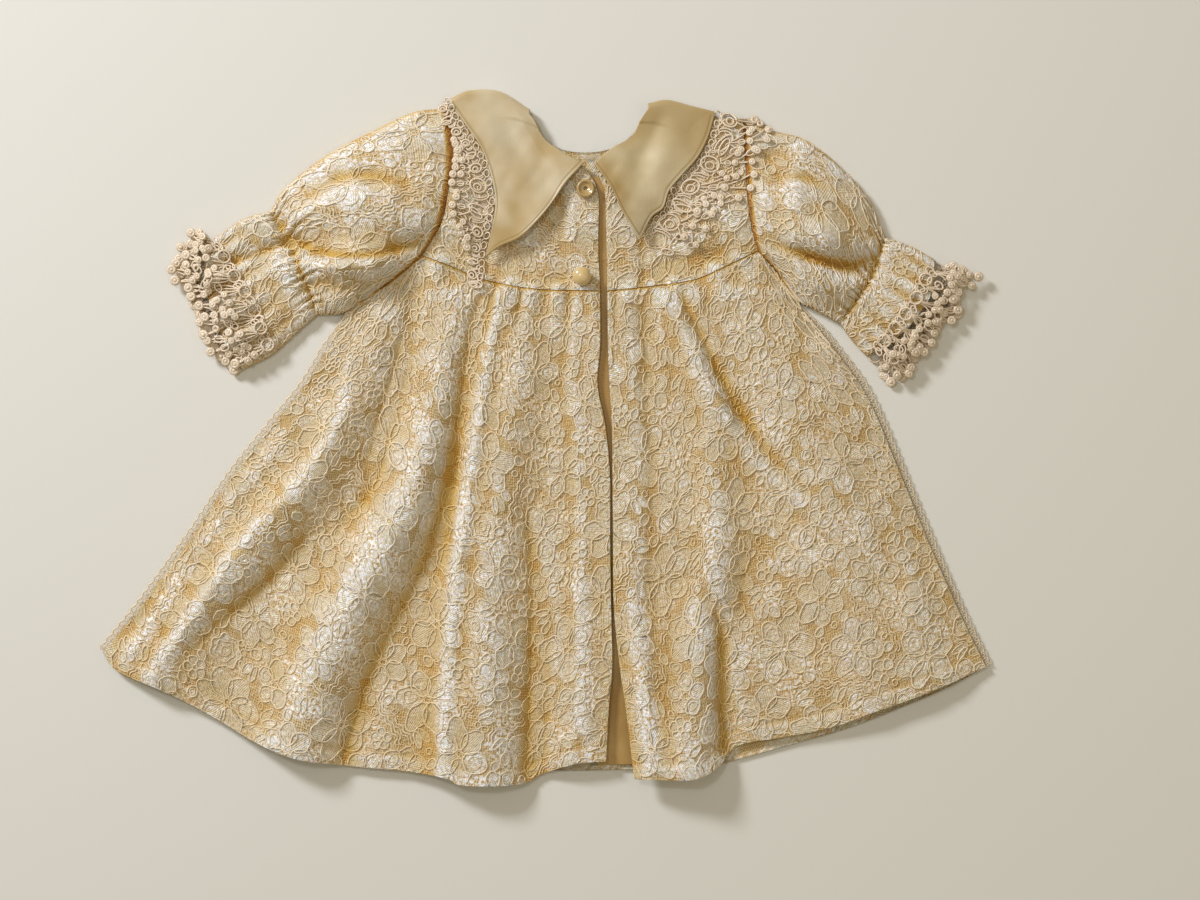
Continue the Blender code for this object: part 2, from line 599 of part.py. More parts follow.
class Cover:
    """The cloth already laid, to find its top at a place."""

    def __init__(self, names):
        depsgraph = bpy.context.evaluated_depsgraph_get()
        self.trees = [BVHTree.FromObject(bpy.data.objects[name], depsgraph) for name in names]

    def top(self, x, y, reach):
        """Highest point within a small reach of a place, or zero off the cloth."""
        best = 0.0
        for turn in range(9):
            angle = turn * math.pi / 4
            far = reach if turn < 8 else 0.0
            start = Vector(((x + far * math.cos(angle) - MIDDLE_X) * MM,
                            (y + far * math.sin(angle) - MIDDLE_Y) * MM, 0.1))
            for tree in self.trees:
                hit = tree.ray_cast(start, Vector((0.0, 0.0, -1.0)))[0]
                if hit is not None:
                    best = max(best, hit.z / MM)
        return best

    def tops(self, plan, reach):
        """The highest points for a grid of places."""
        flat = [self.top(x, y, reach) for x, y in plan.reshape(-1, 2)]
        return np.array(flat).reshape(plan.shape[:-1])


def collar_half(name, collar, cover, material, collection):
    """A front point, its roll over the shoulder and the flap behind, in one wall."""
    columns, front_rows, roll_rows, back_rows = 10, 12, 5, 6
    front_turn = smooth_line(collar["fold"], columns)
    radius = COLLAR_TOP / 2
    fold_in = front_turn - (0.0, radius)
    neck = smooth_line((*collar["neck"][:-1], tuple(fold_in[0])), front_rows)
    outer = smooth_line((*collar["outer"][:-1], tuple(fold_in[-1])), front_rows)
    plan = patch(smooth_line(collar["front"], columns), fold_in, neck, outer)
    along = np.linspace(0.0, 1.0, front_rows)[:, None]
    across = np.linspace(0.0, 1.0, columns)[None, :]
    lift = COLLAR_FRONT_LIFT * np.sin(math.pi * np.clip(across * 0.8 + 0.1, 0, 1)) * (1 - along) ** 2
    lift = lift + COLLAR_OUTER_LIFT * across * (1.0 - along)
    low = cover.tops(plan, COLLAR_REACH) + OVER_CLOTH + lift
    flat_end = smooth((along - 0.8) / 0.2)
    low = np.maximum(np.maximum(low, (COLLAR_TOP - COLLAR_WALL) * flat_end), COLLAR_LOW)
    front_outer = with_height(plan, low + 1.08 * COLLAR_WALL)
    front_inner = with_height(plan, low)
    front_outer[-1, :, 2] = COLLAR_TOP
    front_inner[-1, :, 2] = COLLAR_TOP - COLLAR_WALL

    turns = np.linspace(0.0, math.pi, roll_rows + 2)[1:]
    roll_outer = []
    roll_inner = []
    for turn in turns:
        for ring, size in ((roll_outer, radius), (roll_inner, radius - COLLAR_WALL)):
            place = fold_in + (0.0, size * math.sin(turn))
            ring.append(with_height(place, radius + size * math.cos(turn)))

    back_neck = smooth_line((tuple(fold_in[0]), *collar["back_neck"][1:]), back_rows + 1)
    back_outer = smooth_line((tuple(fold_in[-1]), *collar["back_outer"][1:]), back_rows + 1)
    middle_line = smooth_line((collar["back_neck"][-1], collar["back_outer"][-1]), columns)
    back_plan = patch(fold_in, middle_line, back_neck, back_outer)[1:]
    outer_grid = np.concatenate([front_outer, np.array(roll_outer), with_height(back_plan, 0.0)])
    inner_grid = np.concatenate([front_inner, np.array(roll_inner), with_height(back_plan, COLLAR_WALL)])
    return cloth_wall(name, outer_grid, inner_grid, material, collection)


def lace_plan(sections, repeats, bands):
    """Plan points of a lace strip, with bars and gaps along it and across it."""
    table = smooth_line(sections, 60)
    share = LACE_BAR / (LACE_BAR + LACE_GAP)
    stops = []
    for repeat in range(repeats):
        stops.extend((repeat, repeat + share))
    stops.append(repeats)
    stops.append(repeats + share)
    stops = np.array(stops) / (repeats + share)
    places = np.linspace(0.0, 1.0, len(table))
    rows = np.column_stack([np.interp(stops, places, table[:, axis]) for axis in range(4)])
    bar = share * CROSS_BAR
    unit = bands + (bands + 1) * bar
    across = [0.0]
    for band in range(bands):
        across.append(across[-1] + bar / unit)
        across.append(across[-1] + 1.0 / unit)
    across.append(1.0)
    across = np.array(across)[None, :, None]
    plan = rows[:, None, :2] * (1 - across) + rows[:, None, 2:] * across
    direction = rows[:, 2:] - rows[:, :2]
    direction = direction / np.linalg.norm(direction, axis=1)[:, None]
    swing = SCALLOP * np.where(np.arange(len(stops)) % 4 < 2, 0.5, -0.5)
    plan[:, -1] += direction * swing[:, None]
    plan[:, 0] += direction * SEAM
    return plan


def lace_strip(name, plan, low, material, collection):
    """A strip of guipure: the gaps between its bars are left out and the rest is thickened."""
    rows, columns = plan.shape[:2]
    moved = with_height(plan, low) - np.array((MIDDLE_X, MIDDLE_Y, 0.0))
    faces = []
    for row in range(rows - 1):
        for column in range(columns - 1):
            if row % 2 == 1 and column % 2 == 1:
                continue
            start = row * columns + column
            faces.append((start, start + 1, start + columns + 1, start + columns))
    mesh = bpy.data.meshes.new(name)
    mesh.from_pydata([tuple(point) for point in moved.reshape(-1, 3) * MM], [], faces)
    form = bmesh.new()
    form.from_mesh(mesh)
    bmesh.ops.recalc_face_normals(form, faces=form.faces)
    if sum(face.normal.z for face in form.faces) < 0:
        bmesh.ops.reverse_faces(form, faces=form.faces)
    form.to_mesh(mesh)
    form.free()
    mesh.materials.append(material)
    item = bpy.data.objects.new(name, mesh)
    collection.objects.link(item)
    thick = item.modifiers.new("thickness", "SOLIDIFY")
    thick.thickness = WALL * MM
    thick.offset = 1.0
    return item


def collar_laces(cover, material, collection):
    """The lace along the collar's outer edges, lying on the yoke and the sleeve heads."""
    for name, repeats, bands in (("collar_lace_left", 14, 2), ("collar_lace_right", 12, 3)):
        plan = lace_plan(LACE_SECTIONS[name], repeats, bands)
        low = cover.tops(plan, COLLAR_REACH) + OVER_CLOTH
        lace_strip(name, plan, np.maximum(low, COLLAR_LACE_LOW), material, collection)


def cuff_laces(side, sleeve, cover, material, collection):
    """The lace round a sleeve's open end: over the frill in front, beyond its edge behind."""
    sections = LACE_SECTIONS["cuff_lace_" + side]
    plan = lace_plan(sections, 9, 3)
    tops = cover.tops(plan, CUFF_REACH)
    low = np.where(tops > 0.0, tops + OVER_CLOTH, 0.0)
    for row in low:
        for column in range(1, len(row)):
            row[column] = max(row[column], row[column - 1] - CUFF_DROP, CUFF_LOW)
    lace_strip("cuff_lace_" + side + "_front", plan, low, material, collection)
    end = smooth_line(sleeve["end"], len(sections))
    table = np.array(sections)
    outward = table[:, 2:] - end
    length = np.linalg.norm(outward, axis=1)[:, None]
    behind = np.hstack([end + outward * (2 * SEAM / length), end + outward * 0.9])
    plan = lace_plan(behind, 9, 1)
    lace_strip("cuff_lace_" + side + "_back", plan, 0.0, material, collection)


def turned(name, profile, place, base, material, collection):
    """A round piece from a profile of radius and height, turned about its upright axis."""
    mesh = bpy.data.meshes.new(name)
    points = [(radius * MM, 0.0, height * MM) for radius, height in profile]
    mesh.from_pydata(points, [(step, step + 1) for step in range(len(points) - 1)], [])
    mesh.materials.append(material)
    item = bpy.data.objects.new(name, mesh)
    item.location = ((place[0] - MIDDLE_X) * MM, (place[1] - MIDDLE_Y) * MM, base * MM)
    collection.objects.link(item)
    screw = item.modifiers.new("turn", "SCREW")
    screw.steps = BUTTON_STEPS
    screw.render_steps = BUTTON_STEPS
    screw.use_merge_vertices = True
    screw.merge_threshold = 0.00001
    screw.use_normal_calculate = True
    return item


def buttons(cover, materials, collection):
    """The pearl on the yoke seam and the rimmed button at the neck."""
    radius = BUTTON_ACROSS / 2
    base = cover.top(*PEARL_PLACE, radius) + SEAM
    dome = [(0.0, 0.0), (2.0, 0.0)]
    for angle in np.radians(np.linspace(-50.0, 72.5, 8)):
        dome.append((radius * math.cos(angle), PEARL_MIDDLE + PEARL_HALF * math.sin(angle)))
    dome.append((0.0, PEARL_MIDDLE + PEARL_HALF))
    turned("pearl_button", dome, PEARL_PLACE, base, materials["pearl"], collection)
    base = cover.top(*RING_PLACE, radius) + SEAM
    turned("ring_button", RING_OUTLINE, RING_PLACE, base, materials["button_shell"], collection)


def palette():
    """One plain material for each kind of cloth and button."""
    made = {}
    for name, (colour, roughness) in PALETTE.items():
        material = bpy.data.materials.new(name)
        material.use_nodes = True
        shader = material.node_tree.nodes["Principled BSDF"]
        shader.inputs["Base Color"].default_value = colour
        shader.inputs["Roughness"].default_value = roughness
        shader.inputs["Metallic"].default_value = 0.0
        material.diffuse_color = colour
        made[name] = material
    return made


def main():
    remove_everything()
    collection = bpy.data.collections.new("baby_dress")
    bpy.context.scene.collection.children.link(collection)
    materials = palette()
    lace = materials["lace_cloth"]
    back_panels(lace, collection)
    front_facing(materials["lining_satin"], collection)
    front_skirts(lace, collection)
    front_yokes(lace, collection)
    make_sleeve("sleeve_left", LEFT_SLEEVE, -2.0, lace, collection)
    make_sleeve("sleeve_right", RIGHT_SLEEVE, 2.0, lace, collection)
    bodice = Cover(["front_yoke_left", "front_yoke_right", "front_skirt_left", "front_skirt_right",
                    "sleeve_left", "sleeve_right", "front_facing"])
    collar_half("collar_left", LEFT_COLLAR, bodice, materials["satin"], collection)
    collar_half("collar_right", RIGHT_COLLAR, bodice, materials["satin"], collection)
    collar_laces(bodice, materials["guipure"], collection)
    cuff_laces("left", LEFT_SLEEVE, Cover(["sleeve_left"]), materials["guipure"], collection)
    cuff_laces("right", RIGHT_SLEEVE, Cover(["sleeve_right"]), materials["guipure"], collection)
    buttons(bodice, materials, collection)


main()
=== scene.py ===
# Baby dress laid flat: corded floral lace over satin, a satin collar, guipure edgings and two
# buttons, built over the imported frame. Tables are in millimetres: x runs to the right, y towards
# the collar and z up, and the middle of the outline lies at MIDDLE_X.

import math

import bpy
import numpy as np
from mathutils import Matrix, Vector
from mathutils.bvhtree import BVHTree


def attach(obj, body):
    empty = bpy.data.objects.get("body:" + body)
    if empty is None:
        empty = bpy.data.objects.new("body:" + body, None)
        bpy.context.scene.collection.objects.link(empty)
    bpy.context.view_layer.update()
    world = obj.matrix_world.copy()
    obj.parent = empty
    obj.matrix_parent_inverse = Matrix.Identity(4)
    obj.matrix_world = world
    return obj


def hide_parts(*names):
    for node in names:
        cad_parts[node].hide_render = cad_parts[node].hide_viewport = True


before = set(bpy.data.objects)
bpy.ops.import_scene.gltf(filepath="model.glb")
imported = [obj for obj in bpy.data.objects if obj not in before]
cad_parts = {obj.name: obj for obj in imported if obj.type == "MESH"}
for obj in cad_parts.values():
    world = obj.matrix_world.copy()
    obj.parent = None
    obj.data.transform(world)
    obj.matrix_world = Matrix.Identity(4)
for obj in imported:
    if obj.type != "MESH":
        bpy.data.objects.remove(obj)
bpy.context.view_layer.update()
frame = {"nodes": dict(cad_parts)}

MM = 0.001
# The cloth's thickness, the gap between two pieces, and one layer with its gap
WALL = 1.2
SEAM = 0.3
LAYER = WALL + SEAM
MIDDLE_X = 0.6
CELL = 1.5
CORD_STEP = 1.25
# Lengths and widths of the panels, which set how many cells their grids have
SKIRT_LENGTH = 262
LEFT_SKIRT_WIDTH = 280
RIGHT_SKIRT_WIDTH = 210
BACK_SKIRT_WIDTH = 470
YOKE_LENGTH = 86
YOKE_WIDTH = 100
BACK_YOKE_WIDTH = 178
PUFF_LENGTH = 118
FRILL_LENGTH = 46
SLEEVE_WIDTH = 125
# How much coarser the hidden back's cells are
BACK_SKIRT_CELLS = 1.6
BACK_YOKE_CELLS = 1.3

# Skirt, a row for each height: the side seams and the two front edges
SKIRT_ROWS = (
    # y, left_side, left_front, right_front, right_side
    (50, -116, 30, 34.3, 154),
    (28, -129, 28.6, 35.1, 170.5),
    (6.5, -146.5, 32.7, 36.4, 181),
    (-20.5, -168, 35.3, 36.7, 192),
    (-53, -190, 35.4, 37, 205.5),
    (-91, -217.5, 35.9, 37.4, 222),
    (-123, None, 36.5, 40.5, None),
    (-145, None, 34.8, 43.7, None),
)
LEFT_UNDERARM = (-107.2, 67.5)
RIGHT_UNDERARM = (136.4, 72.9)
LEFT_CORNER = (-238, -116)
RIGHT_CORNER = (238, -124)
LEFT_FRONT_HEM = (33.2, -174.5)
RIGHT_FRONT_HEM = (48.3, -183.6)

# Hems, a row for each place along them
HEM_ROWS = (
    # x, front, back
    (-230, -126, -123.5),
    (-205, -136.5, -134),
    (-177.9, -151.2, -148.5),
    (-156.3, -163.6, -159.5),
    (-132, -172.8, -169),
    (-105, -177.1, -174),
    (-78, -179.8, -176.8),
    (-53, -183, -178.6),
    (-44, -186.6, -179),
    (-13.2, -186.8, -179.6),
    (0.5, -180.9, -179.8),
    (18, -175.6, -179.9),
    (75, -183.6, -178.5),
    (84.5, -182.2, -178.2),
    (93.7, -177.1, -177),
    (104.5, -166.3, -173.8),
    (127.2, -162, -167.5),
    (154.2, -156.6, -160),
    (175.8, -148.5, -152.6),
    (194.7, -142, -145),
    (218, -132.8, -135),
)

# Seams of the yoke and the armholes
LEFT_YOKE_SEAM = ((-65.6, 97.7), (-48.3, 91.3), (-32.1, 84.8), (-4.6, 79.9), (30, 78.8))
RIGHT_YOKE_SEAM = ((34, 78.8), (54.8, 81), (80.2, 84.8), (98, 92.3), (114.8, 100.4))
BACK_YOKE_SEAM = ((-65.6, 97.7), (-20, 84), (25, 80), (70, 85), (114.8, 100.4))
LEFT_ARMHOLE = ((-51.6, 178), (-48.9, 150.1), (-51.6, 130.7), (-55.4, 114.5), (-65.6, 97.7))
LEFT_ARMHOLE_LOW = ((-65.6, 97.7), (-79.1, 86.4), (-93.7, 76.1), LEFT_UNDERARM)
RIGHT_ARMHOLE = ((106.7, 170.5), (107.7, 155), (108.8, 133.4), (111, 114.5), (114.8, 100.4))
RIGHT_ARMHOLE_LOW = ((114.8, 100.4), (122.9, 91.3), (129.9, 82.1), RIGHT_UNDERARM)

# Neckline: front edges from the shoulder to the middle, and the back from left to right
LEFT_NECK = ((-8.2, 172), (-6.2, 169.5), (-1, 158.9), (10.5, 150.8), (20.6, 146))
RIGHT_NECK = ((55.4, 174), (51.8, 169.5), (47.2, 160), (36.4, 153.6), (27.4, 145.6))
BACK_NECK = ((-8.2, 172), (-0.5, 161.5), (11, 154.6), (24.6, 153.4), (35.9, 155.5),
             (46.4, 162), (55.4, 174))
LEFT_YOKE_FRONT = ((20.6, 146), (25.1, 140), (27.8, 135), (29.5, 126), (29, 105),
                   (30, 78.8))
RIGHT_YOKE_FRONT = ((27.4, 145.6), (30, 139), (32.6, 131), (33.2, 117), (33.6, 98),
                    (34, 78.8))

# Folds, a row each: the crest's places, its half width at both ends, and its height at the
# start, the middle and the end. A minus height is a trough.
SKIRT_FOLDS = (
    # crest, width_start, width_end, height_start, height_middle, height_end
    (((-46, 72), (-54, 36), (-62, -2), (-72, -34), (-89, -66), (-108, -99), (-124, -137),
      (-136, -172)), 10, 21, 3, 12, 10),
    (((-86, 62), (-97, 31), (-121, -18), (-156, -61), (-186, -102), (-208, -132)),
     11, 15, 2.5, 8.5, 5),
    (((-132, 9), (-183, -50), (-205, -85), (-224, -118)), 5, 7, 0.8, 2.6, 2.2),
    (((-12, 76), (-16, 20), (-23, -18), (-27, -50), (-30, -99), (-32, -142), (-35, -186)),
     9, 20, 2, 6.5, 10),
    (((54, -88), (60, -131), (65, -184)), 20, 24, 0.6, 4, 7),
    (((79, 76), (87, 31), (92, -2), (92, -45), (90, -77), (84, -110), (84, -142), (81, -181)),
     8, 14, 1.6, 4.2, 8),
    (((103, 74), (122, 36), (136, 4), (151, -34), (160, -77), (172, -110), (181, -146)),
     14, 26, 2.2, 5, 3.6),
    (((186, -40), (196, -80), (206, -130)), 10, 16, 0.6, 2.6, 2.4),
)
# Short gathers that hang from the yoke seam and die out
GATHERS = (
    # x_seam, x_low, y_seam, y_low, width, height
    (-57, -64, 94, 62, 4.6, 1.7),
    (-32, -34, 84, 58, 4.6, 1.9),
    (-20, -22, 82, 48, 4.4, 1.6),
    (8, 6, 79, 42, 4.6, 1.8),
    (20, 20, 79, 50, 4.4, 1.5),
    (45, 46, 79, 52, 4.6, 1.7),
    (58, 64, 81, 40, 4.6, 1.9),
    (70, 76, 83, 52, 4.4, 1.5),
    (92, 104, 90, 60, 4.6, 1.7),
    (106, 118, 96, 68, 4.6, 1.6),
)
YOKE_FOLDS = (
    (((-51, 150), (-50, 128), (-58, 106)), 24, 22, 2, 4.2, 2.6),
    (((108, 152), (108, 128), (116, 102)), 24, 22, 2, 4.2, 2.6),
    (((-30, 118), (0, 100), (24, 96)), 12, 10, 0.6, 1.6, 0.8),
    (((62, 100), (80, 106), (98, 104)), 9, 9, 0.8, 1.8, 0.8),
)
SLEEVE_FOLDS = (
    (((-134, 119), (-105, 128), (-73, 114)), 8, 12, 1.5, 4.5, 2),
    (((-132, 110), (-112, 104), (-84, 106)), 7, 8, -2.5, -4, -1.5),
    (((-134, 88), (-118, 94), (-86, 94)), 8, 9, 1.5, 4, 1.5),
    (((-112, 150), (-90, 155), (-66, 150)), 10, 12, 0.8, 2.4, 1),
    (((136, 98), (160, 92), (180, 88)), 5, 6, -2, -4.5, -2),
    (((134, 112), (158, 106), (178, 102)), 9, 9, 1, 3.6, 1.5),
    (((118, 134), (134, 130), (150, 136)), 10, 10, 1, 3.4, 1),
    (((108, 151), (118, 150), (128, 149)), 5, 5, -1.2, -2.6, -1.2),
    (((142, 84), (156, 78), (168, 76)), 7, 7, 1, 2.6, 1),
)

# Creases of the face, in the same form, that the solid leaves out
CREASES = (
    (((-33, 74), (-42, 36), (-47, 2), (-55, -46), (-64, -76), (-80, -106), (-96, -138), (-106, -172)),
     5, 7, -3, -3.8, -2),
    (((-24, 77), (-31, 36), (-36, 2), (-42, -40), (-47, -80), (-51, -120), (-54, -183)),
     5, 7, 1.8, 3.8, 3.2),
    (((-68, 84), (-76, 44), (-88, -2), (-93, -28), (-110, -50)), 5, 7, -1.2, -3, -0.8),
    (((-128, -52), (-150, -78), (-178, -102), (-196, -122)), 6, 8, -0.6, -2.6, -1.2),
    (((-104, 40), (-110, 8), (-126, -18), (-158, -54), (-186, -92), (-210, -128)), 4, 6, 0.8, 2, 1.4),
    (((-10, -40), (-4, -88), (-4, -135), (-6, -180)), 4, 6, -0.5, -3.6, -4.4),
    (((16, -60), (19, -100), (18, -150), (16, -174)), 8, 11, 0.6, 2.4, 3),
    (((46, -30), (48, -80), (53, -125), (60, -178)), 8, 10, 0.5, 2.6, 3),
    (((88, -84), (95, -107), (96, -134), (99, -166)), 4, 5, -0.6, -3.6, -4.6),
    (((66, 77), (77, 54), (90, 26), (112, -10), (135, -34)), 5, 6, 1.6, 2.6, 0.5),
    (((74, 77), (85, 54), (99, 26), (121, -8), (143, -30)), 3.5, 5, -1.2, -2.2, -0.5),
    (((50, 77), (56, 56), (60, 30)), 4, 5, -1, -1.6, -0.4),
    (((118, -50), (112, -80), (104, -104)), 8, 8, -0.5, -1.8, -0.6),
    (((150, 10), (170, -40), (190, -100)), 8, 10, 0.3, 1.2, 0.3),
)
YOKE_CREASES = (
    (((-44, 118), (-28, 106), (-8, 98)), 4, 5, -0.4, -1, -0.4),
    (((62, 92), (82, 94), (102, 104)), 4, 4, -0.5, -1.3, -0.5),
    (((78, 128), (92, 120), (106, 118)), 5, 5, 0.4, 1.2, 0.5),
    (((-6, 128), (6, 116), (20, 108)), 4, 5, -0.3, -0.8, -0.3),
)
# How much the face stands off the solid between its creases, and how strong they are
CREASE_LOFT = 1.0
CREASE_DEPTH = 1.5
# Fine gathers under the yoke seam, in the form of the others
FINE_GATHERS = (
    # x_seam, x_low, y_seam, y_low, width, height
    (-64, -72, 95, 60, 2.6, -1.1),
    (-50, -57, 90, 64, 2.4, 1),
    (-41, -45, 87, 58, 2.4, -1.1),
    (-27, -34, 82, 33, 2.4, -1.8),
    (-12, -17, 81, 46, 2.4, -1.6),
    (-6, -9, 79, 55, 2.2, 1.1),
    (1, -1, 79, 60, 2.2, -1),
    (14, 13, 78, 52, 2.4, -1.2),
    (26, 27, 78, 50, 2.2, 1),
    (38, 39, 78, 46, 2.2, -1.1),
    (51, 54, 79, 58, 2.4, 1),
    (57, 62, 79, 49, 2.2, -1.5),
    (64, 70, 80, 56, 2.2, 1.1),
    (84, 92, 86, 58, 2.6, -1.2),
    (99, 108, 92, 66, 2.4, 1),
    (110, 120, 98, 72, 2.4, -1.1),
)
SLEEVE_CREASES = (
    (((-170, 92), (-155, 98), (-136, 105), (-122, 99.5), (-106, 97), (-90, 98), (-66, 105)),
     3.5, 4, -2, -3.4, -1.4),
    (((-134, 92), (-114, 91), (-82, 91)), 6, 6, 0.8, 2.2, 0.8),
    (((-126, 129), (-105, 140), (-75, 138)), 5, 6, -0.8, -1.8, -0.6),
    (((-122, 82), (-104, 80), (-88, 84)), 5, 5, -0.4, -1.2, -0.4),
    (((176, 96), (160, 92), (140, 98), (122, 104)), 3.5, 4, -1.5, -3, -1),
    (((126, 140), (142, 138), (158, 130)), 4, 5, -0.6, -1.6, -0.6),
)
# How far the facing pushes up the front cloth from the middle of the opening, and how it fades
FACING_REACH = 15.0
FACING_FADE = 8.0
# The facing's half width, and its upper and lower end
FACING_HALF = 12.0
FACING_ENDS = (140, -176.5)
# Where its light lower end begins, and how far the shade grows above that
FACING_LIGHT_END = -110.0
FACING_SHADE_FADE = 60.0
# Lace motifs, the largest first, and how far they are packed beyond the cloth's edge
MOTIF_SIZES = (
    # radius, gap, tries, kind
    (15.6, -0.5, 900, "flower"),
    (11.0, -0.5, 1500, "flower"),
    (0.0, 0.0, 260, "vine"),
    (7.8, -0.4, 1600, "rose"),
    (5.8, -0.3, 3200, "daisy"),
    (4.2, -0.3, 5200, "leaves"),
    (2.9, -0.2, 6500, "drop"),
    (1.9, -0.1, 7000, "drop"),
)
MOTIF_MARGIN = 6.0
# How far a lace cord strays from its motif's outline
CORD_SWAY = 0.42
# How wide round a place its hollow is judged, for painted shade in hollows and painted highlight on
# crests
HOLLOW_REACH = 9.0
# The turned hem, its row of stitches, and the step at the yoke seam
HEM_DEPTH = 8.5
HEM_STEP = 0.4
HEM_STITCH = 0.35
SEAM_DIP = 0.25
# How shaded the yoke seam is, and the first rows of cloth at an armhole
SEAM_SHADE = 1.7
ARMHOLE_SHADE = (2, 2, 1.3)
# How deep the armhole's seam lies
ARMHOLE_DIP = {"sleeve_left": 0.7, "sleeve_right": 0.1}
# The back: room for the cords below it, and cords with more points than this are thinned out
BACK_CORD_ROOM = 0.45
BACK_CORD_SIZE = 0.72
LONG_CORD = 13
# The net that stands out at the skirt's sides
NET_REACH = 3.6
NET_HEIGHT = 1.35
NET_SCALLOP = 5.2
NET_GROW = 25.0
NET_THREADS = (
    # share_of_reach, thickness, pitch, swing
    (1, 0.34, 1, 0),
    (0.62, 0.2, 2.6, 0.42),
    (0.3, 0.2, 3.1, 0.5),
)

# Sleeves: outlines from the armhole to the elastic, and from there to the open end
LEFT_SLEEVE = {
    "armhole": LEFT_ARMHOLE[:-1] + LEFT_ARMHOLE_LOW,
    "top": ((-51.9, 178.6), (-58, 176.8), (-71, 174.9), (-90.5, 165.8), (-116.4, 152.3),
            (-139, 135), (-147.7, 121.5)),
    "bottom": (LEFT_UNDERARM, (-113, 66.2), (-122.3, 66)),
    "elastic": ((-147.7, 121.5), (-138, 105.8), (-126.6, 78.3), (-122.3, 66)),
    "frill_top": ((-147.7, 121.5), (-162, 117.5), (-179.5, 106)),
    "frill_bottom": ((-122.3, 66), (-134, 56), (-147, 44.5), (-162.8, 36.5)),
    "end": ((-179.5, 106), (-182.8, 87.5), (-179.6, 71.3), (-172.5, 52.4), (-162.8, 36.5)),
}
RIGHT_SLEEVE = {
    "armhole": RIGHT_ARMHOLE[:-1] + RIGHT_ARMHOLE_LOW,
    "top": ((106.9, 171.6), (122, 165.5), (141.2, 159.8), (159.6, 145.3), (173.6, 129.6),
            (181.2, 112.9), (183.3, 107.5)),
    "bottom": (RIGHT_UNDERARM, (148, 67.5), (159.6, 61)),
    "elastic": ((183.3, 107.5), (176.3, 86.4), (169.3, 75.1), (159.6, 61)),
    "frill_top": ((183.3, 107.5), (197, 103), (210, 96)),
    "frill_bottom": ((159.6, 61), (166, 52), (173.6, 43.7)),
    "end": ((210, 96), (208.2, 78.3), (200, 64.3), (188.2, 52.4), (173.6, 43.7)),
}
# How far the sleeve's front stands off its back, from the armhole to the open end
SLEEVE_PUFF = (
    # along, height
    (0.00, 0),
    (0.12, 6),
    (0.32, 12),
    (0.55, 12.5),
    (0.80, 7.5),
    (1.00, 3.2),
    (1.12, 5),
    (2.00, 5.5),
)
FRILL_WAVES = 4
FRILL_WAVE = 1.3
# Columns of the sleeve's hidden back, and its height
SLEEVE_BACK_COLUMNS = 16
SLEEVE_BACK_HEIGHT = 0.25

# Collar: shoulder fold, edges of the front points and of the flaps behind
LEFT_COLLAR = {
    "fold": ((-7.8, 176.6), (-24, 186.3), (-40.2, 186.8), (-50.5, 182.5)),
    "neck": ((21.3, 147.4), (11.1, 152.3), (0.3, 160.4), (-5.1, 170), (-7.8, 173.7)),
    "front": ((21.3, 147.4), (11.1, 136.1), (3.5, 124.7), (-4.1, 115.6), (-13.2, 106.9),
              (-24, 102.1), (-31.6, 96.7)),
    "outer": ((-31.6, 96.7), (-28.4, 110.7), (-26.2, 125.3), (-28.4, 139.9), (-33.8, 155),
              (-42.4, 167.9), (-50.5, 179.6)),
    "back_neck": ((-7.8, 173.7), (-0.5, 160.5), (10, 153.4), (23.8, 152.2)),
    "back_outer": ((-50.5, 179.6), (-44, 150), (-22, 126), (23.8, 118)),
}
RIGHT_COLLAR = {
    "fold": ((55.9, 179.8), (66.1, 181.7), (79.1, 178.6), (91.5, 175.5)),
    "neck": ((26.7, 146.9), (35.9, 155), (46.7, 161.5), (51.8, 170.6), (55.9, 176.9)),
    "front": ((26.7, 146.9), (35.9, 133.9), (42.9, 119.3), (51.3, 105.6)),
    "outer": ((51.3, 105.6), (57.8, 118), (64, 123.1), (67.2, 132.3), (74.8, 141.5),
              (82.4, 150.1), (88.3, 161.5), (91.5, 172.6)),
    "back_neck": ((55.9, 176.9), (47, 161.5), (36.4, 154.4), (24.6, 152.2)),
    "back_outer": ((91.5, 172.6), (86, 146), (66, 124), (24.6, 118)),
}
# How far the collar's front lifts off the dress, at its middle and at its outer edge
COLLAR_FRONT_LIFT = 3.6
COLLAR_OUTER_LIFT = 1.2
# The satin's thickness, the top of the roll, the lowest front and the height of the flap behind
COLLAR_WALL = 1.0
COLLAR_TOP = 6.3
COLLAR_LOWEST = 3.2
COLLAR_BACK_HEIGHT = 0.12
# The collar's clearance over the dress, and how many times its heights are smoothed
COLLAR_GAP = 0.5
COLLAR_SMOOTHINGS = 40
# How far the collar's stitches lie from its edge, and how shaded each half is
COLLAR_SEAM = 1.6
COLLAR_SHADE = {"collar_left": 0, "collar_right": 0.9}
# Soft folds of the collar's satin, in the form of the skirt's
COLLAR_FOLDS = (
    (((-38, 178), (-22, 150), (-2, 128)), 6, 7, 0.5, 1.1, 0.4),
    (((-24, 176), (-12, 150), (4, 136)), 5, 6, -0.4, -0.8, -0.3),
    (((-26, 128), (-18, 116), (-14, 110)), 5, 6, 0.2, 0.6, 0.3),
    (((76, 170), (64, 150), (52, 126)), 6, 7, 0.4, 1, 0.4),
    (((62, 172), (52, 150), (42, 134)), 5, 6, -0.3, -0.7, -0.3),
)

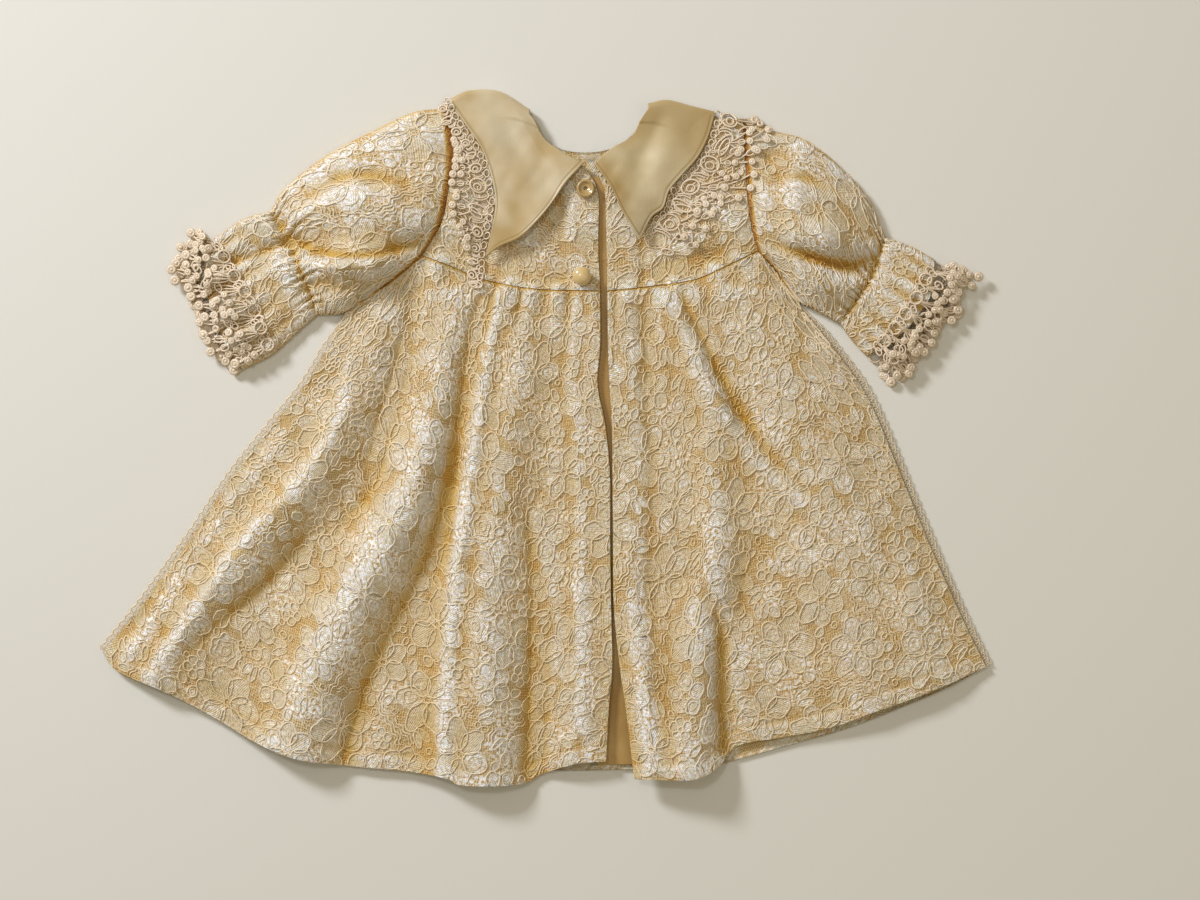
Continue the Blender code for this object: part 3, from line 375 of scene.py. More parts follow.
# Guipure lace, a row for each section across it, from the sewn edge to the picots
LACE_SECTIONS = {
    "collar_lace_left": (
        # inner_x, inner_y, outer_x, outer_y
        (-52.6, 183.4, -58.9, 178.6),
        (-44.4, 168.9, -54, 166),
        (-35.6, 155.8, -46.5, 155),
        (-29.8, 140.4, -48.5, 141.5),
        (-27.6, 125.4, -51, 129),
        (-29.8, 110.8, -46, 114),
        (-33, 96.5, -41.5, 103),
        (-33.4, 88, -41, 91),
        (-34, 80.5, -40, 80.5),
    ),
    "collar_lace_right": (
        (93.6, 176.2, 112, 171.5),
        (90.2, 161, 122, 163),
        (83.9, 149.4, 111.5, 151),
        (76.4, 140.6, 113, 141),
        (68.9, 131.4, 108, 130),
        (65.6, 122.2, 92, 123.5),
        (59.6, 117, 87.5, 112),
        (56.2, 110.6, 84, 101),
        (53, 104.6, 78, 92),
    ),
    "cuff_lace_left": (
        (-175, 104.5, -189, 112),
        (-168, 94, -200, 98),
        (-163, 85, -201.5, 86),
        (-157, 77, -194, 74),
        (-152, 66, -191, 60),
        (-149, 57, -182.5, 48),
        (-145, 47.5, -170.5, 35.5),
    ),
    "cuff_lace_right": (
        (207, 92, 238, 87),
        (201, 83, 230, 75.5),
        (196, 73, 224, 63.5),
        (190, 65, 215, 52.5),
        (184, 57, 203.5, 38),
        (175.5, 47.5, 186, 21),
    ),
}
# How wide round a cord the cloth below is felt, and how far the cuff's back reaches of its front
EDGING_REACH = 0.8
CUFF_BEHIND = 0.92

# Buttons: places, and the rimmed one's profile from its hole over the rim and back
BUTTON_RADIUS = 5.0
PEARL_PLACE = (20.2, 86.4)
RING_PLACE = (22.2, 133.5)
RING_PROFILE = (
    # radius, height
    (0.9, 0.2), (4.2, 0), (4.9, 0.6), (5, 1.4), (4.9, 2.3), (4.5, 3), (4, 3.2),
    (3.6, 3), (3.2, 2.4), (2.6, 2), (1.8, 1.9), (1.2, 1.9), (0.95, 1.5), (0.9, 0.2),
)

# View from straight above: its centre in millimetres, its width and its distance in metres
VIEW_CENTRE = (29.97, -7.02)
VIEW_WIDTH = 0.648
VIEW_DISTANCE = 1.5
SENSOR = 36.0
LIGHTS = (
    # name, place_in_metres, size_in_metres, power_in_watts, colour
    ("key", (-1.43, 1.33, 1.09), 0.42, 40.0, (1.0, 0.98, 0.95)),
    ("fill", (0.9, -0.4, 1.3), 1.6, 3.5, (1.0, 0.86, 0.62)),
    ("glint", (-0.45, 0.42, 1.6), 0.16, 3.0, (1.0, 0.99, 0.97)),
    ("top", (-0.3, 0.4, 1.9), 1.4, 3.0, (1.0, 0.90, 0.70)),
)


# Lines, grids and the heights of the cloth


def smooth(value):
    """Ease from 0 to 1 as the value goes from 0 to 1."""
    value = np.clip(value, 0.0, 1.0)
    return value * value * (3.0 - 2.0 * value)


def step_lengths(points, axis=0):
    """The distances between neighbouring points of a line or a grid."""
    return np.linalg.norm(np.diff(points, axis=axis), axis=-1)


def run_along(line):
    """How far each point of a line lies along it."""
    return np.concatenate([[0.0], np.cumsum(step_lengths(line))])


def from_ends(points, axis):
    """How far each point of a grid lies along an axis from its start and from its end."""
    run = np.insert(np.cumsum(step_lengths(points, axis), axis=axis), 0, 0.0, axis=axis)
    return run, np.take(run, [-1], axis=axis) - run


def unit(vectors):
    """Vectors brought to length 1."""
    return vectors / np.maximum(np.linalg.norm(vectors, axis=-1, keepdims=True), 1e-9)


def full_turn(count):
    """Angles evenly spread round a circle."""
    return np.linspace(0.0, 2 * math.pi, count, endpoint=False)


def with_height(plan, z):
    """The points over a plan at a height, or at a height for each place."""
    return np.concatenate([plan, np.broadcast_to(z, plan.shape[:-1])[..., None]], axis=-1)


def smooth_line(points, count):
    """Evenly spaced points on a rounded line through the given ones."""
    knots = np.array(points, dtype=float)
    padded = np.vstack([2 * knots[0] - knots[1], knots, 2 * knots[-1] - knots[-2]])
    t = np.linspace(0.0, 1.0, 12, endpoint=False)[:, None]
    spans = []
    for before, start, end, after in zip(padded, padded[1:], padded[2:], padded[3:]):
        spans.append(0.5 * (2 * start + (end - before) * t
                            + (2 * before - 5 * start + 4 * end - after) * t ** 2
                            + (3 * start - before - 3 * end + after) * t ** 3))
    fine = np.vstack(spans + [knots[-1:]])
    run = run_along(fine)
    places = np.linspace(0.0, run[-1], count)
    return np.column_stack([np.interp(places, run, fine[:, axis]) for axis in range(fine.shape[1])])


def corner_line(first, second, count):
    """Points along two rounded lines that meet at a corner, shared out by length."""
    lengths = [step_lengths(np.array(line)).sum() for line in (first, second)]
    share = max(2, round((count - 1) * lengths[0] / sum(lengths)))
    return np.vstack([smooth_line(first, share + 1), smooth_line(second, count - share)[1:]])


def cornered_line(first, middle, last, count, ends):
    """Points along three rounded lines that meet at corners, with the counts of both end lines."""
    return np.vstack([smooth_line(first, ends[0])[:-1], smooth_line(middle, count - sum(ends) + 2),
                      smooth_line(last, ends[1])[1:]])


def patch(top, bottom, left, right):
    """Plan points of a panel spread between its four edges."""
    across = np.linspace(0.0, 1.0, len(top))[None, :, None]
    down = np.linspace(0.0, 1.0, len(left))[:, None, None]
    between = (1 - down) * top[None] + down * bottom[None]
    between = between + (1 - across) * left[:, None] + across * right[:, None]
    corners = (1 - across) * (1 - down) * top[0] + across * (1 - down) * top[-1]
    corners = corners + (1 - across) * down * bottom[0] + across * down * bottom[-1]
    return between - corners


def skirt_edge(column, start, end):
    """One edge of the skirt, from its start above to its end at the hem."""
    middle = [(row[column], row[0]) for row in SKIRT_ROWS if row[column] is not None]
    return (start, *middle, end)


LEFT_SIDE = skirt_edge(1, LEFT_UNDERARM, LEFT_CORNER)
LEFT_FRONT = skirt_edge(2, LEFT_YOKE_SEAM[-1], LEFT_FRONT_HEM)
RIGHT_FRONT = skirt_edge(3, RIGHT_YOKE_SEAM[0], RIGHT_FRONT_HEM)
RIGHT_SIDE = skirt_edge(4, RIGHT_UNDERARM, RIGHT_CORNER)


def x_at(line, y):
    """Where a line that runs down the dress crosses a height."""
    points = smooth_line(line, 60)[::-1]
    return np.interp(y, points[:, 1], points[:, 0])


def front_middle(y):
    """The middle of the front opening at a height."""
    left = x_at(LEFT_YOKE_FRONT[:-1] + LEFT_FRONT, y)
    right = x_at(RIGHT_YOKE_FRONT[:-1] + RIGHT_FRONT, y)
    return 0.5 * (left + right)


def fold_height(x, y, folds, power=2.0):
    """Sum of the folds' ridges and troughs at the given places; a low power makes them sharp."""
    total = np.zeros_like(x)
    for crest, width_start, width_end, *heights in folds:
        line = smooth_line(crest, 80)
        away = (x[..., None] - line[:, 0]) ** 2 + (y[..., None] - line[:, 1]) ** 2
        nearest = away.argmin(axis=-1) / (len(line) - 1)
        width = width_start + (width_end - width_start) * nearest
        height = np.interp(nearest, (0.0, 0.5, 1.0), heights)
        total += height * np.exp(-(away.min(axis=-1) / width ** 2) ** (0.5 * power))
    return total


def gather_height(x, y, gathers=GATHERS):
    """Short gathers under the yoke seam."""
    total = np.zeros_like(x)
    for x_seam, x_low, y_seam, y_low, width, height in gathers:
        down = np.clip((y_seam - y) / (y_seam - y_low), -0.2, 1.0)
        centre = x_seam + (x_low - x_seam) * down
        fade = (1.0 - smooth(down)) * smooth((y_seam + 6.0 - y) / 6.0)
        total += height * fade * np.exp(-((x - centre) / width) ** 2)
    return total


def facing_rise(x, y):
    """The room that the front cloth leaves for the facing under its opening."""
    beside = (np.abs(x - front_middle(y)) - FACING_REACH) / FACING_FADE
    return (LAYER + SEAM) * (1.0 - smooth(beside))


def from_sides(x, y, fade):
    """How far a place lies from both sides of the skirt, from 0 at them to 1."""
    return smooth((x - x_at(LEFT_SIDE, y)) / fade) * smooth((x_at(RIGHT_SIDE, y) - x) / fade)


def back_rise(x, y):
    """Height of the back's underside: it lies over the collar's back flaps."""
    return LAYER * smooth((y - 98.0) / 18.0)


def front_rise(x, y):
    """Height of the underside of the front cloth."""
    facing = facing_rise(x, y)
    side = from_sides(x, y, 20.0)
    skirt = 1.0 - smooth((y - 78.0) / 30.0)
    folds = side * skirt * fold_height(x, y, SKIRT_FOLDS) + side * gather_height(x, y)
    folds = folds + side * fold_height(x, y, YOKE_FOLDS)
    return back_rise(x, y) + LAYER + np.maximum(facing, folds + 0.4 * facing)


def crease_height(x, y):
    """The smaller creases of the front cloth, which the solid leaves out."""
    skirt = 1.0 - smooth((y - 76.0) / 8.0)
    sharp = CREASE_LOFT + CREASE_DEPTH * fold_height(x, y, CREASES, 1.3)
    creases = skirt * (sharp + gather_height(x, y, FINE_GATHERS))
    return from_sides(x, y, 14.0) * (creases + fold_height(x, y, YOKE_CREASES))


def front_face(x, y):
    """Height of the front cloth's underside with its creases, kept clear of what lies under it."""
    lowest = back_rise(x, y) + LAYER + facing_rise(x, y)
    return np.maximum(front_rise(x, y) + crease_height(x, y), lowest)


def skirt_plan(top, side, front, corner, rows):
    """Plan of one half of the skirt, between its seam above and its hem."""
    hem = [(x, y) for x, y, _ in HEM_ROWS]
    if side[0][0] < 0:
        hem = [place for place in hem if place[0] < front[-1][0]]
        bottom = smooth_line([corner, *hem, front[-1]], len(top))
        return patch(top, bottom, smooth_line(side, rows), smooth_line(front, rows))
    hem = [place for place in hem if place[0] > front[-1][0]]
    bottom = smooth_line([front[-1], *hem, corner], len(top))
    return patch(top, bottom, smooth_line(front, rows), smooth_line(side, rows))


def sleeve_plan(sleeve, rows, columns):
    """Plan of a flattened sleeve: from the armhole to the elastic, then the frill."""
    puff_rows, frill_rows = rows

    def edge(name, count):
        return smooth_line(sleeve[name], count)

    puff = patch(edge("armhole", columns), edge("elastic", columns),
                 edge("top", puff_rows), edge("bottom", puff_rows))
    frill = patch(edge("elastic", columns), edge("end", columns),
                  edge("frill_top", frill_rows), edge("frill_bottom", frill_rows))
    along = np.concatenate([np.linspace(0.0, 1.0, puff_rows), np.linspace(1.0, 2.0, frill_rows)[1:]])
    return np.concatenate([puff, frill[1:]]), along


def sleeve_rise(plan, along, down):
    """Height of the underside of a sleeve's front."""
    x, y = plan[..., 0], plan[..., 1]
    arch = np.sin(math.pi * down) ** 0.6
    puff = np.interp(along, *zip(*SLEEVE_PUFF))
    near_seam = 1.0 - smooth(along / 0.35)
    seam = (front_rise(x, y) - LAYER) * smooth(down / 0.12) * smooth((1.0 - down) / 0.12)
    waves = FRILL_WAVE * smooth(along - 1.0) * np.sin(2 * math.pi * FRILL_WAVES * down)
    folds = fold_height(x, y, SLEEVE_FOLDS) * smooth(along / 0.25)
    return LAYER + near_seam * seam + np.maximum(arch * (puff + folds + waves), 0.0)


# Small unevenness of the cloth


def lattice_noise(x, y, pitch, seed):
    """Smooth random heights from -1 to 1 on a lattice of the given pitch."""
    cells = 64
    values = np.random.default_rng(seed).uniform(-1.0, 1.0, (cells, cells))
    column, row = np.floor(x / pitch).astype(int), np.floor(y / pitch).astype(int)
    across, up = smooth(x / pitch - column), smooth(y / pitch - row)

    def between(row):
        first, last = values[column % cells, row % cells], values[(column + 1) % cells, row % cells]
        return first * (1 - across) + last * across

    return between(row) * (1 - up) + between(row + 1) * up


def crumple(x, y, seed):
    """Soft dents and small wrinkles of lace over satin."""
    broad = lattice_noise(x, y * 0.6, 17.0, seed) * 0.55
    middle = lattice_noise(x + 0.5 * y, y * 0.7, 8.0, seed + 1) * 0.34
    fine = lattice_noise(x, y, 4.0, seed + 2) * 0.16
    return broad + middle + fine


def blurred(grid, reach):
    """A grid averaged over the cells round each one."""
    for axis in (0, 1):
        wide = [(reach, reach) if axis == number else (0, 0) for number in (0, 1)]
        total = np.cumsum(np.pad(grid, wide, mode="edge"), axis=axis)
        total = np.insert(total, 0, 0.0, axis=axis)
        count = total.shape[axis]
        ahead = np.take(total, np.arange(2 * reach + 1, count), axis=axis)
        grid = (ahead - np.take(total, np.arange(0, count - 2 * reach - 1), axis=axis)) / (2 * reach + 1)
    return grid


# Meshes


def object_from(name, vertices, faces, material):
    """A piece from points in millimetres, riding on the dress's one body."""
    moved = np.asarray(vertices, dtype=float).reshape(-1, 3) - (MIDDLE_X, 0.0, 0.0)
    mesh = bpy.data.meshes.new(name)
    mesh.from_pydata((moved * MM).tolist(), [], np.asarray(faces).tolist())
    mesh.polygons.foreach_set("use_smooth", np.ones(len(mesh.polygons), dtype=bool))
    mesh.materials.append(material)
    item = bpy.data.objects.new(name, mesh)
    bpy.context.scene.collection.objects.link(item)
    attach(item, "root")
    return item


def grid_faces(rows, columns, around=False, closed=False):
    """Quads of a grid; around joins its last column to the first, and closed its last row."""
    row = np.arange(rows if closed else rows - 1)[:, None]
    column = np.arange(columns if around else columns - 1)[None, :]
    below, beside = (row + 1) % rows, (column + 1) % columns
    quads = np.stack([row * columns + column, row * columns + beside,
                      below * columns + beside, below * columns + column], axis=-1)
    return quads.reshape(-1, 4)


def grid_normals(points):
    """Upward normals of a grid of points."""
    normal = unit(np.cross(np.gradient(points, axis=1), np.gradient(points, axis=0)))
    return normal * np.where(normal[..., 2:] < 0, -1.0, 1.0)


class Sheet:
    """A cloth surface: points on a grid, with cloth coordinates to lay motifs on."""

    def __init__(self, points, squeeze, flip=False):
        self.points = points[:, ::-1] if flip else points
        self.normals = grid_normals(self.points)
        run = from_ends(self.points, 1)[0]
        full = run[:, -1:]
        width = full ** squeeze * full.max() ** (1 - squeeze)
        self.u = run / full * width
        self.v = np.concatenate([[0.0], np.cumsum(step_lengths(self.points).mean(axis=1))])
        self.width = width[:, 0]
        height = self.points[..., 2]
        # How deep each place lies in a hollow, which the materials paint as shade; crests get painted
        # highlight
        dip = blurred(height, max(2, int(HOLLOW_REACH / CELL))) - height
        self.hollow = np.clip(0.28 + dip / 2.4, 0.0, 1.0) + np.clip((dip - 2.2) / 2.0, 0.0, 1.0)

    def inside(self, u, v, margin):
        """Whether places lie on the cloth."""
        wide = np.interp(v, self.v, self.width)
        return (u > margin) & (u < wide - margin) & (v > margin) & (v < self.v[-1] - margin)

    def at(self, u, v):
        """Points, normals and hollows of the surface at cloth places."""
        rows, columns = self.u.shape
        row = np.interp(v, self.v, np.arange(rows))
        upper = np.clip(np.floor(row).astype(int), 0, rows - 2)
        down = (row - upper)[:, None]
        places = self.u[upper] * (1 - down) + self.u[upper + 1] * down
        left = np.clip((places < u[:, None]).sum(axis=1) - 1, 0, columns - 2)
        pick = np.arange(len(u))
        start, end = places[pick, left], places[pick, left + 1]
        across = np.clip((u - start) / np.maximum(end - start, 1e-9), 0.0, 1.0)[:, None]

        def blend(grid):
            above = grid[upper, left] * (1 - across) + grid[upper, left + 1] * across
            below = grid[upper + 1, left] * (1 - across) + grid[upper + 1, left + 1] * across
            return above * (1 - down) + below * down

        return blend(self.points), blend(self.normals), blend(self.hollow[..., None])[:, 0]


def edged(grid):
    """A grid with one more row and column just inside each edge, so that the edges stay crisp."""
    for axis in (0, 1):
        grid = np.moveaxis(grid, axis, 0)
        first = 0.9 * grid[:1] + 0.1 * grid[1:2]
        last = 0.9 * grid[-1:] + 0.1 * grid[-2:-1]
        grid = np.moveaxis(np.concatenate([grid[:1], first, grid[1:-1], last, grid[-1:]]), 0, axis)
    return grid


def rimmed(points, tuck=4):
    """A grid with its edges turned down and under by the thickness of the cloth."""
    fall = np.array((0.0, 0.0, WALL))
    points = edged(points)
    top = [points[tuck:tuck + 1] - fall, points[:1] - fall]
    bottom = [points[-1:] - fall, points[-1 - tuck:len(points) - tuck] - fall]
    grid = np.concatenate(top + [points] + bottom)
    left = [grid[:, tuck:tuck + 1] - fall, grid[:, :1] - fall]
    right = [grid[:, -1:] - fall, grid[:, -1 - tuck:grid.shape[1] - tuck] - fall]
    left = [np.concatenate([side[:2] + fall, side[2:-2], side[-2:] + fall]) for side in left]
    right = [np.concatenate([side[:2] + fall, side[2:-2], side[-2:] + fall]) for side in right]
    return np.concatenate(left + [grid] + right, axis=1)


def padded_edges(values):
    """Values on a grid repeated over its turned edges."""
    return np.pad(edged(values), [(2, 2), (2, 2)] + [(0, 0)] * (values.ndim - 2), mode="edge")


def set_attribute(item, name, values, kind="FLOAT"):
    """Store a value for each vertex."""
    attribute = item.data.attributes.new(name, kind, "POINT")
    key = "vector" if kind == "FLOAT_VECTOR" else "value"
    attribute.data.foreach_set(key, np.asarray(values, dtype=np.float32).ravel())


# Floral lace: flowers, roses, daisies, leaves, drops and wavy stems at uneven turns and sizes


class Motifs:
    """Motifs packed over a cloth surface, with their petals and their raised cords."""

    def __init__(self, sheet, seed):
        self.random = np.random.default_rng(seed)
        self.seed = seed
        self.petals = []
        self.cords = []
        self.taken = np.zeros((0, 3))
        low = np.full(2, -MOTIF_MARGIN)
        high = np.array((sheet.width.max(), sheet.v[-1])) + MOTIF_MARGIN
        for radius, gap, tries, kind in MOTIF_SIZES:
            places = self.random.uniform(low, high, (tries, 2))
            turns = self.random.uniform(0.0, 2 * math.pi, tries)
            grow = self.random.uniform(0.9, 1.12, tries)
            for (u, v), turn, size in zip(places, turns, grow):
                reach = radius * size
                if not self.free(u, v, reach + gap):
                    continue
                if kind == "vine":
                    self.vine(u, v)
                    continue
                self.taken = np.vstack([self.taken, (u, v, reach)])
                getattr(self, kind)(u, v, reach * 1.08, turn)
        self.cords = [(self.uneven(line), closed, thick) for line, closed, thick in self.cords]

    def uneven(self, line):
        """A cord's line with the small unevenness of a hand-guided thread."""
        sway = [lattice_noise(line[:, 0], line[:, 1], 2.7, self.seed + number) for number in (5, 6)]
        return line + CORD_SWAY * np.column_stack(sway)

    def free(self, u, v, reach):
        """Whether no motif lies within reach of a place."""
        away = np.hypot(self.taken[:, 0] - u, self.taken[:, 1] - v)
        return not (away < self.taken[:, 2] + reach).any()

    def outline(self, u, v, angle, along, half, thick):
        """A closed cord from its places along and beside an axis."""
        ahead, beside = math.cos(angle), math.sin(angle)
        line = np.column_stack([u + along * ahead - half * beside, v + along * beside + half * ahead])
        self.cords.append((line, True, thick))

    def petal(self, u, v, angle, start, length, width, lobes=3, ripple=0.08):
        """One petal, narrow at its base and scalloped at its tip: its fill and its cord."""
        gleam = self.random.uniform(0.0, 1.0)
        middle = start + 0.53 * length
        centre = (u + middle * math.cos(angle), v + middle * math.sin(angle))
        self.petals.append((*centre, angle, 0.49 * length, 0.48 * width, gleam))
        t = full_turn(max(12, int((length + width) * 1.7 / CORD_STEP)))
        run = 0.5 - 0.5 * np.cos(t)
        frill = ripple * length * smooth((run - 0.4) / 0.45) * np.cos(lobes * (t - math.pi))
        along = start + length * run - frill * np.cos(t)
        half = 0.5 * width * np.sin(t) * (0.74 + 0.40 * run) + frill * np.sin(t)
        self.outline(u, v, angle, along, half, 0.43)
        if length > 6.5 and gleam > 0.4:
            inner = 0.30 * width * np.sin(t[::2]) * (0.70 + 0.42 * run[::2])
            self.outline(u, v, angle, start + length * (0.26 + 0.52 * run[::2]), inner, 0.28)

    def circle(self, u, v, radius, thick=0.36, lobes=2, ripple=0.06, turn=0.0):
        """A ring of cord, scalloped by its lobes."""
        t = full_turn(max(9, int(2 * math.pi * radius * 1.1 / CORD_STEP)))
        reach = radius * (1.0 + ripple * np.cos(lobes * t + turn))
        self.cords.append((np.column_stack([u + reach * np.cos(t), v + reach * np.sin(t)]), True, thick))

    def flower(self, u, v, reach, turn):
        """A flower of five or six broad petals about a small ring."""
        count = 6 if reach > 14 else 5
        width = 2 * math.sin(math.pi / count) * 0.76 * reach
        for number in range(count):
            angle = turn + 2 * math.pi * number / count + self.random.uniform(-0.12, 0.12)
            length = (reach - 2.2) * self.random.uniform(0.82, 1.04)
            self.petal(u, v, angle, 2.2, length, width * self.random.uniform(0.86, 1.06))
        self.circle(u, v, 1.7)

    def rose(self, u, v, reach, turn):
        """A rose of scalloped rings, one in another."""
        self.petals.append((u, v, turn, 0.95 * reach, 0.95 * reach, self.random.uniform(0.3, 1.0)))
        self.circle(u, v, 0.94 * reach, 0.43, 7, 0.09, turn)
        self.circle(u + 0.05 * reach, v, 0.62 * reach, 0.38, 5, 0.12, turn + 1.0)
        self.circle(u, v, 0.30 * reach, 0.36, 3, 0.10, turn)

    def daisy(self, u, v, reach, turn):
        """A small flower of five petals."""
        for number in range(5):
            angle = turn + 2 * math.pi * number / 5
            self.petal(u, v, angle, 1.3, reach - 1.3, 0.9 * reach, 2, 0.04)
        self.circle(u, v, 1.15, 0.34)

    def leaves(self, u, v, reach, turn):
        """A pair of leaves side by side."""
        t = full_turn(max(12, int(4.6 * reach / CORD_STEP)))
        for side in (-1, 1):
            shift = 0.46 * reach * side
            place = (u - shift * math.sin(turn), v + shift * math.cos(turn))
            lean = turn + 0.2 * side
            half = 0.42 * reach * np.sin(t) * np.abs(np.sin(t)) ** 0.2
            self.petals.append((*place, lean, 0.95 * reach, 0.40 * reach, self.random.uniform(0.0, 1.0)))
            self.outline(*place, lean, -reach * np.cos(t), half * (1 + 0.12 * np.cos(7 * t)), 0.4)

    def drop(self, u, v, reach, turn):
        """A drop or a small ring that fills a gap."""
        if reach > 2.3:
            self.petal(u, v, turn, -reach, 2.0 * reach, 1.6 * reach, 2, 0.04)
        else:
            self.circle(u, v, reach * 0.85, 0.36, 2, 0.1, turn)

    def vine(self, u, v):
        """Two wavy cords side by side that wander between the flowers."""
        step = 1.3
        middle = [(u, v)]
        for _ in range(34):
            u, v = middle[-1]
            swing = lattice_noise(np.array(u), np.array(v), 26.0, self.seed)
            angle = 1.3 + 2.6 * float(swing)
            place = (u + step * math.cos(angle), v + step * math.sin(angle))
            if not self.free(*place, 0.7):
                break
            middle.append(place)
        if len(middle) < 6:
            return
        line = np.array(middle)
        self.taken = np.vstack([self.taken, np.column_stack([line, np.full(len(line), 1.5)])])
        run = np.arange(len(line)) * step
        side = np.gradient(line, axis=0)[:, ::-1] * (-1.0, 1.0) / step
        sway = 0.8 * np.sin(run * 2 * math.pi / 6.5)[:, None]
        for shift in (-0.9, 0.9):
            self.cords.append((line + side * (sway + shift), False, 0.4))

    def fill(self, u, v):
        """How far each cloth place lies in a petal, the petal's gleam, and its thread direction."""
        filled, shine, rib = np.zeros((3, len(u)))
        for centre_u, centre_v, angle, half, wide, gleam in self.petals:
            near = np.abs(u - centre_u) + np.abs(v - centre_v) < 1.5 * half + 2.0
            if not near.any():
                continue
            du, dv = u[near] - centre_u, v[near] - centre_v
            along = (du * math.cos(angle) + dv * math.sin(angle)) / half
            beside = (-du * math.sin(angle) + dv * math.cos(angle)) / wide
            level = smooth((1.16 - np.hypot(along, beside)) / 0.24)
            better = level > filled[near]
            index = np.flatnonzero(near)[better]
            filled[index] = level[better]
            shine[index] = gleam
            rib[index] = (beside * wide)[better]
        return filled, shine, rib


# Raised cords


def directions(points, closed):
    """The direction of a line at each of its points."""
    if closed:
        return np.roll(points, -1, axis=0) - np.roll(points, 1, axis=0)
    return np.gradient(points, axis=0)


def cord_runs(sheet, cords):
    """The stretches of the cords that lie on the cloth."""
    runs = []
    for line, closed, radius in cords:
        keep = sheet.inside(line[:, 0], line[:, 1], 0.4)
        if keep.all():
            runs.append((line, closed, radius))
            continue
        if closed:
            start = int(np.argmin(keep))
            line, keep = np.roll(line, -start, axis=0), np.roll(keep, -start)
        for part in np.split(np.arange(len(line)), np.flatnonzero(np.diff(keep)) + 1):
            if keep[part[0]] and len(part) > 2:
                runs.append((line[part], False, radius))
    return runs


def cord_mesh(name, sheet, cords, material, rise=0.2, narrow=1.0):
    """Raised cords laid on a panel, as half round strips of uneven thickness."""
    turns = np.radians((-88.0, -35.0, 35.0, 88.0))
    sines, cosines = np.sin(turns)[None, :, None], np.cos(turns)[None, :, None]
    runs = cord_runs(sheet, cords)
    places = np.concatenate([line for line, _, _ in runs])
    points, normals, hollow = sheet.at(places[:, 0], places[:, 1])
    made, faces = [], []
    at = 0
    for line, closed, radius in runs:
        count = len(line)
        middle, up = points[at:at + count, None], normals[at:at + count, None]
        side = unit(np.cross(up[:, 0], directions(middle[:, 0], closed)))[:, None]
        swell = 0.9 + 0.16 * math.sin(at) + 0.2 * np.sin(np.arange(count) * 1.9 + at)
        thick = radius * narrow * swell[:, None, None]
        made.append(middle + side * sines * thick + up * (cosines * thick + rise))
        faces.append(len(turns) * at + grid_faces(count, len(turns), False, closed))
        at += count
    item = object_from(name + "_cords", np.concatenate(made), np.concatenate(faces), material)
    # Each cord takes the cloth's hollow value below it, for painted shade in hollows and painted
    # highlight on crests
    set_attribute(item, "hollow", np.repeat(hollow, len(turns)))
    return item


def tube_mesh(name, lines, material, sides=6):
    """Round cords along lines of points, with painted shade towards their undersides; each line may close
    on itself.
    """
    turns = full_turn(sides)
    sines, cosines = np.sin(turns)[None, :, None], np.cos(turns)[None, :, None]
    made, faces, shade = [], [], []
    base = 0
    for points, closed, radius in lines:
        count = len(points)
        tangent = unit(directions(points, closed))
        side = unit(np.cross((0.0, 0.0, 1.0), tangent))
        up = np.cross(tangent, side)
        thick = np.broadcast_to(radius, (count,))[:, None, None]
        ring = points[:, None] + (side[:, None] * cosines + up[:, None] * sines) * thick
        made.append(ring.reshape(-1, 3))
        # Painted shade: darker towards each tube's underside and lighter on its top, stored as its hollow
        # value
        shade.append(np.tile(0.5 - 0.5 * np.sin(turns), count))
        faces.append(base + grid_faces(count, sides, True, closed))
        base += count * sides
    item = object_from(name, np.concatenate(made), np.concatenate(faces), material)
    set_attribute(item, "hollow", np.concatenate(shade))
    return item


# Materials


def node_material(name):
    """A material with its node tree and its shader."""
    material = bpy.data.materials.new(name)
    material.use_nodes = True
    return material, material.node_tree, material.node_tree.nodes["Principled BSDF"]


def add(tree, kind, **settings):
    """A node with the given settings."""
    node = tree.nodes.new(kind)
    for key, value in settings.items():
        setattr(node, key, value)
    return node


def plug(tree, socket, value):
    """Join a socket to another one, or set it to a number or a colour."""
    if hasattr(value, "links"):
        tree.links.new(value, socket)
    elif socket.type == "RGBA":
        socket.default_value = (*value, 1.0)
    else:
        socket.default_value = value


def attribute(tree, name, output="Fac"):
    """A value stored on the mesh."""
    node = add(tree, "ShaderNodeAttribute", attribute_type="GEOMETRY")
    node.attribute_name = name
    return node.outputs[output]


def mix_colour(tree, factor, first, second, **settings):
    """Mix two colours; each may be a socket or a colour."""
    node = add(tree, "ShaderNodeMix", data_type="RGBA", **settings)
    for number, value in ((0, factor), (6, first), (7, second)):
        plug(tree, node.inputs[number], value)
    return node.outputs[2]


def multiplied(tree, first, second):
    """One colour multiplied by another."""
    return mix_colour(tree, 1.0, first, second, blend_type="MULTIPLY")


def maths(tree, operation, *values, clamp=False):
    """A calculation on sockets or numbers."""
    node = add(tree, "ShaderNodeMath", operation=operation, use_clamp=clamp)
    for socket, value in zip(node.inputs, values):
        plug(tree, socket, value)
    return node.outputs[0]


def times(tree, first, second, clamp=False):
    """The product of two sockets or numbers."""
    return maths(tree, "MULTIPLY", first, second, clamp=clamp)


def spread(tree, value, low, high):
    """A value stretched so that low becomes 0 and high becomes 1."""
    ramp = add(tree, "ShaderNodeMapRange")
    for key, given in (("From Min", low), ("From Max", high), ("Value", value)):
        plug(tree, ramp.inputs[key], given)
    return ramp.outputs["Result"]


def noise(tree, vector, scale, detail):
    """A noise value at a scale."""
    node = add(tree, "ShaderNodeTexNoise")
    for key, value in (("Scale", scale), ("Detail", detail), ("Vector", vector)):
        plug(tree, node.inputs[key], value)
    return node.outputs["Fac"]


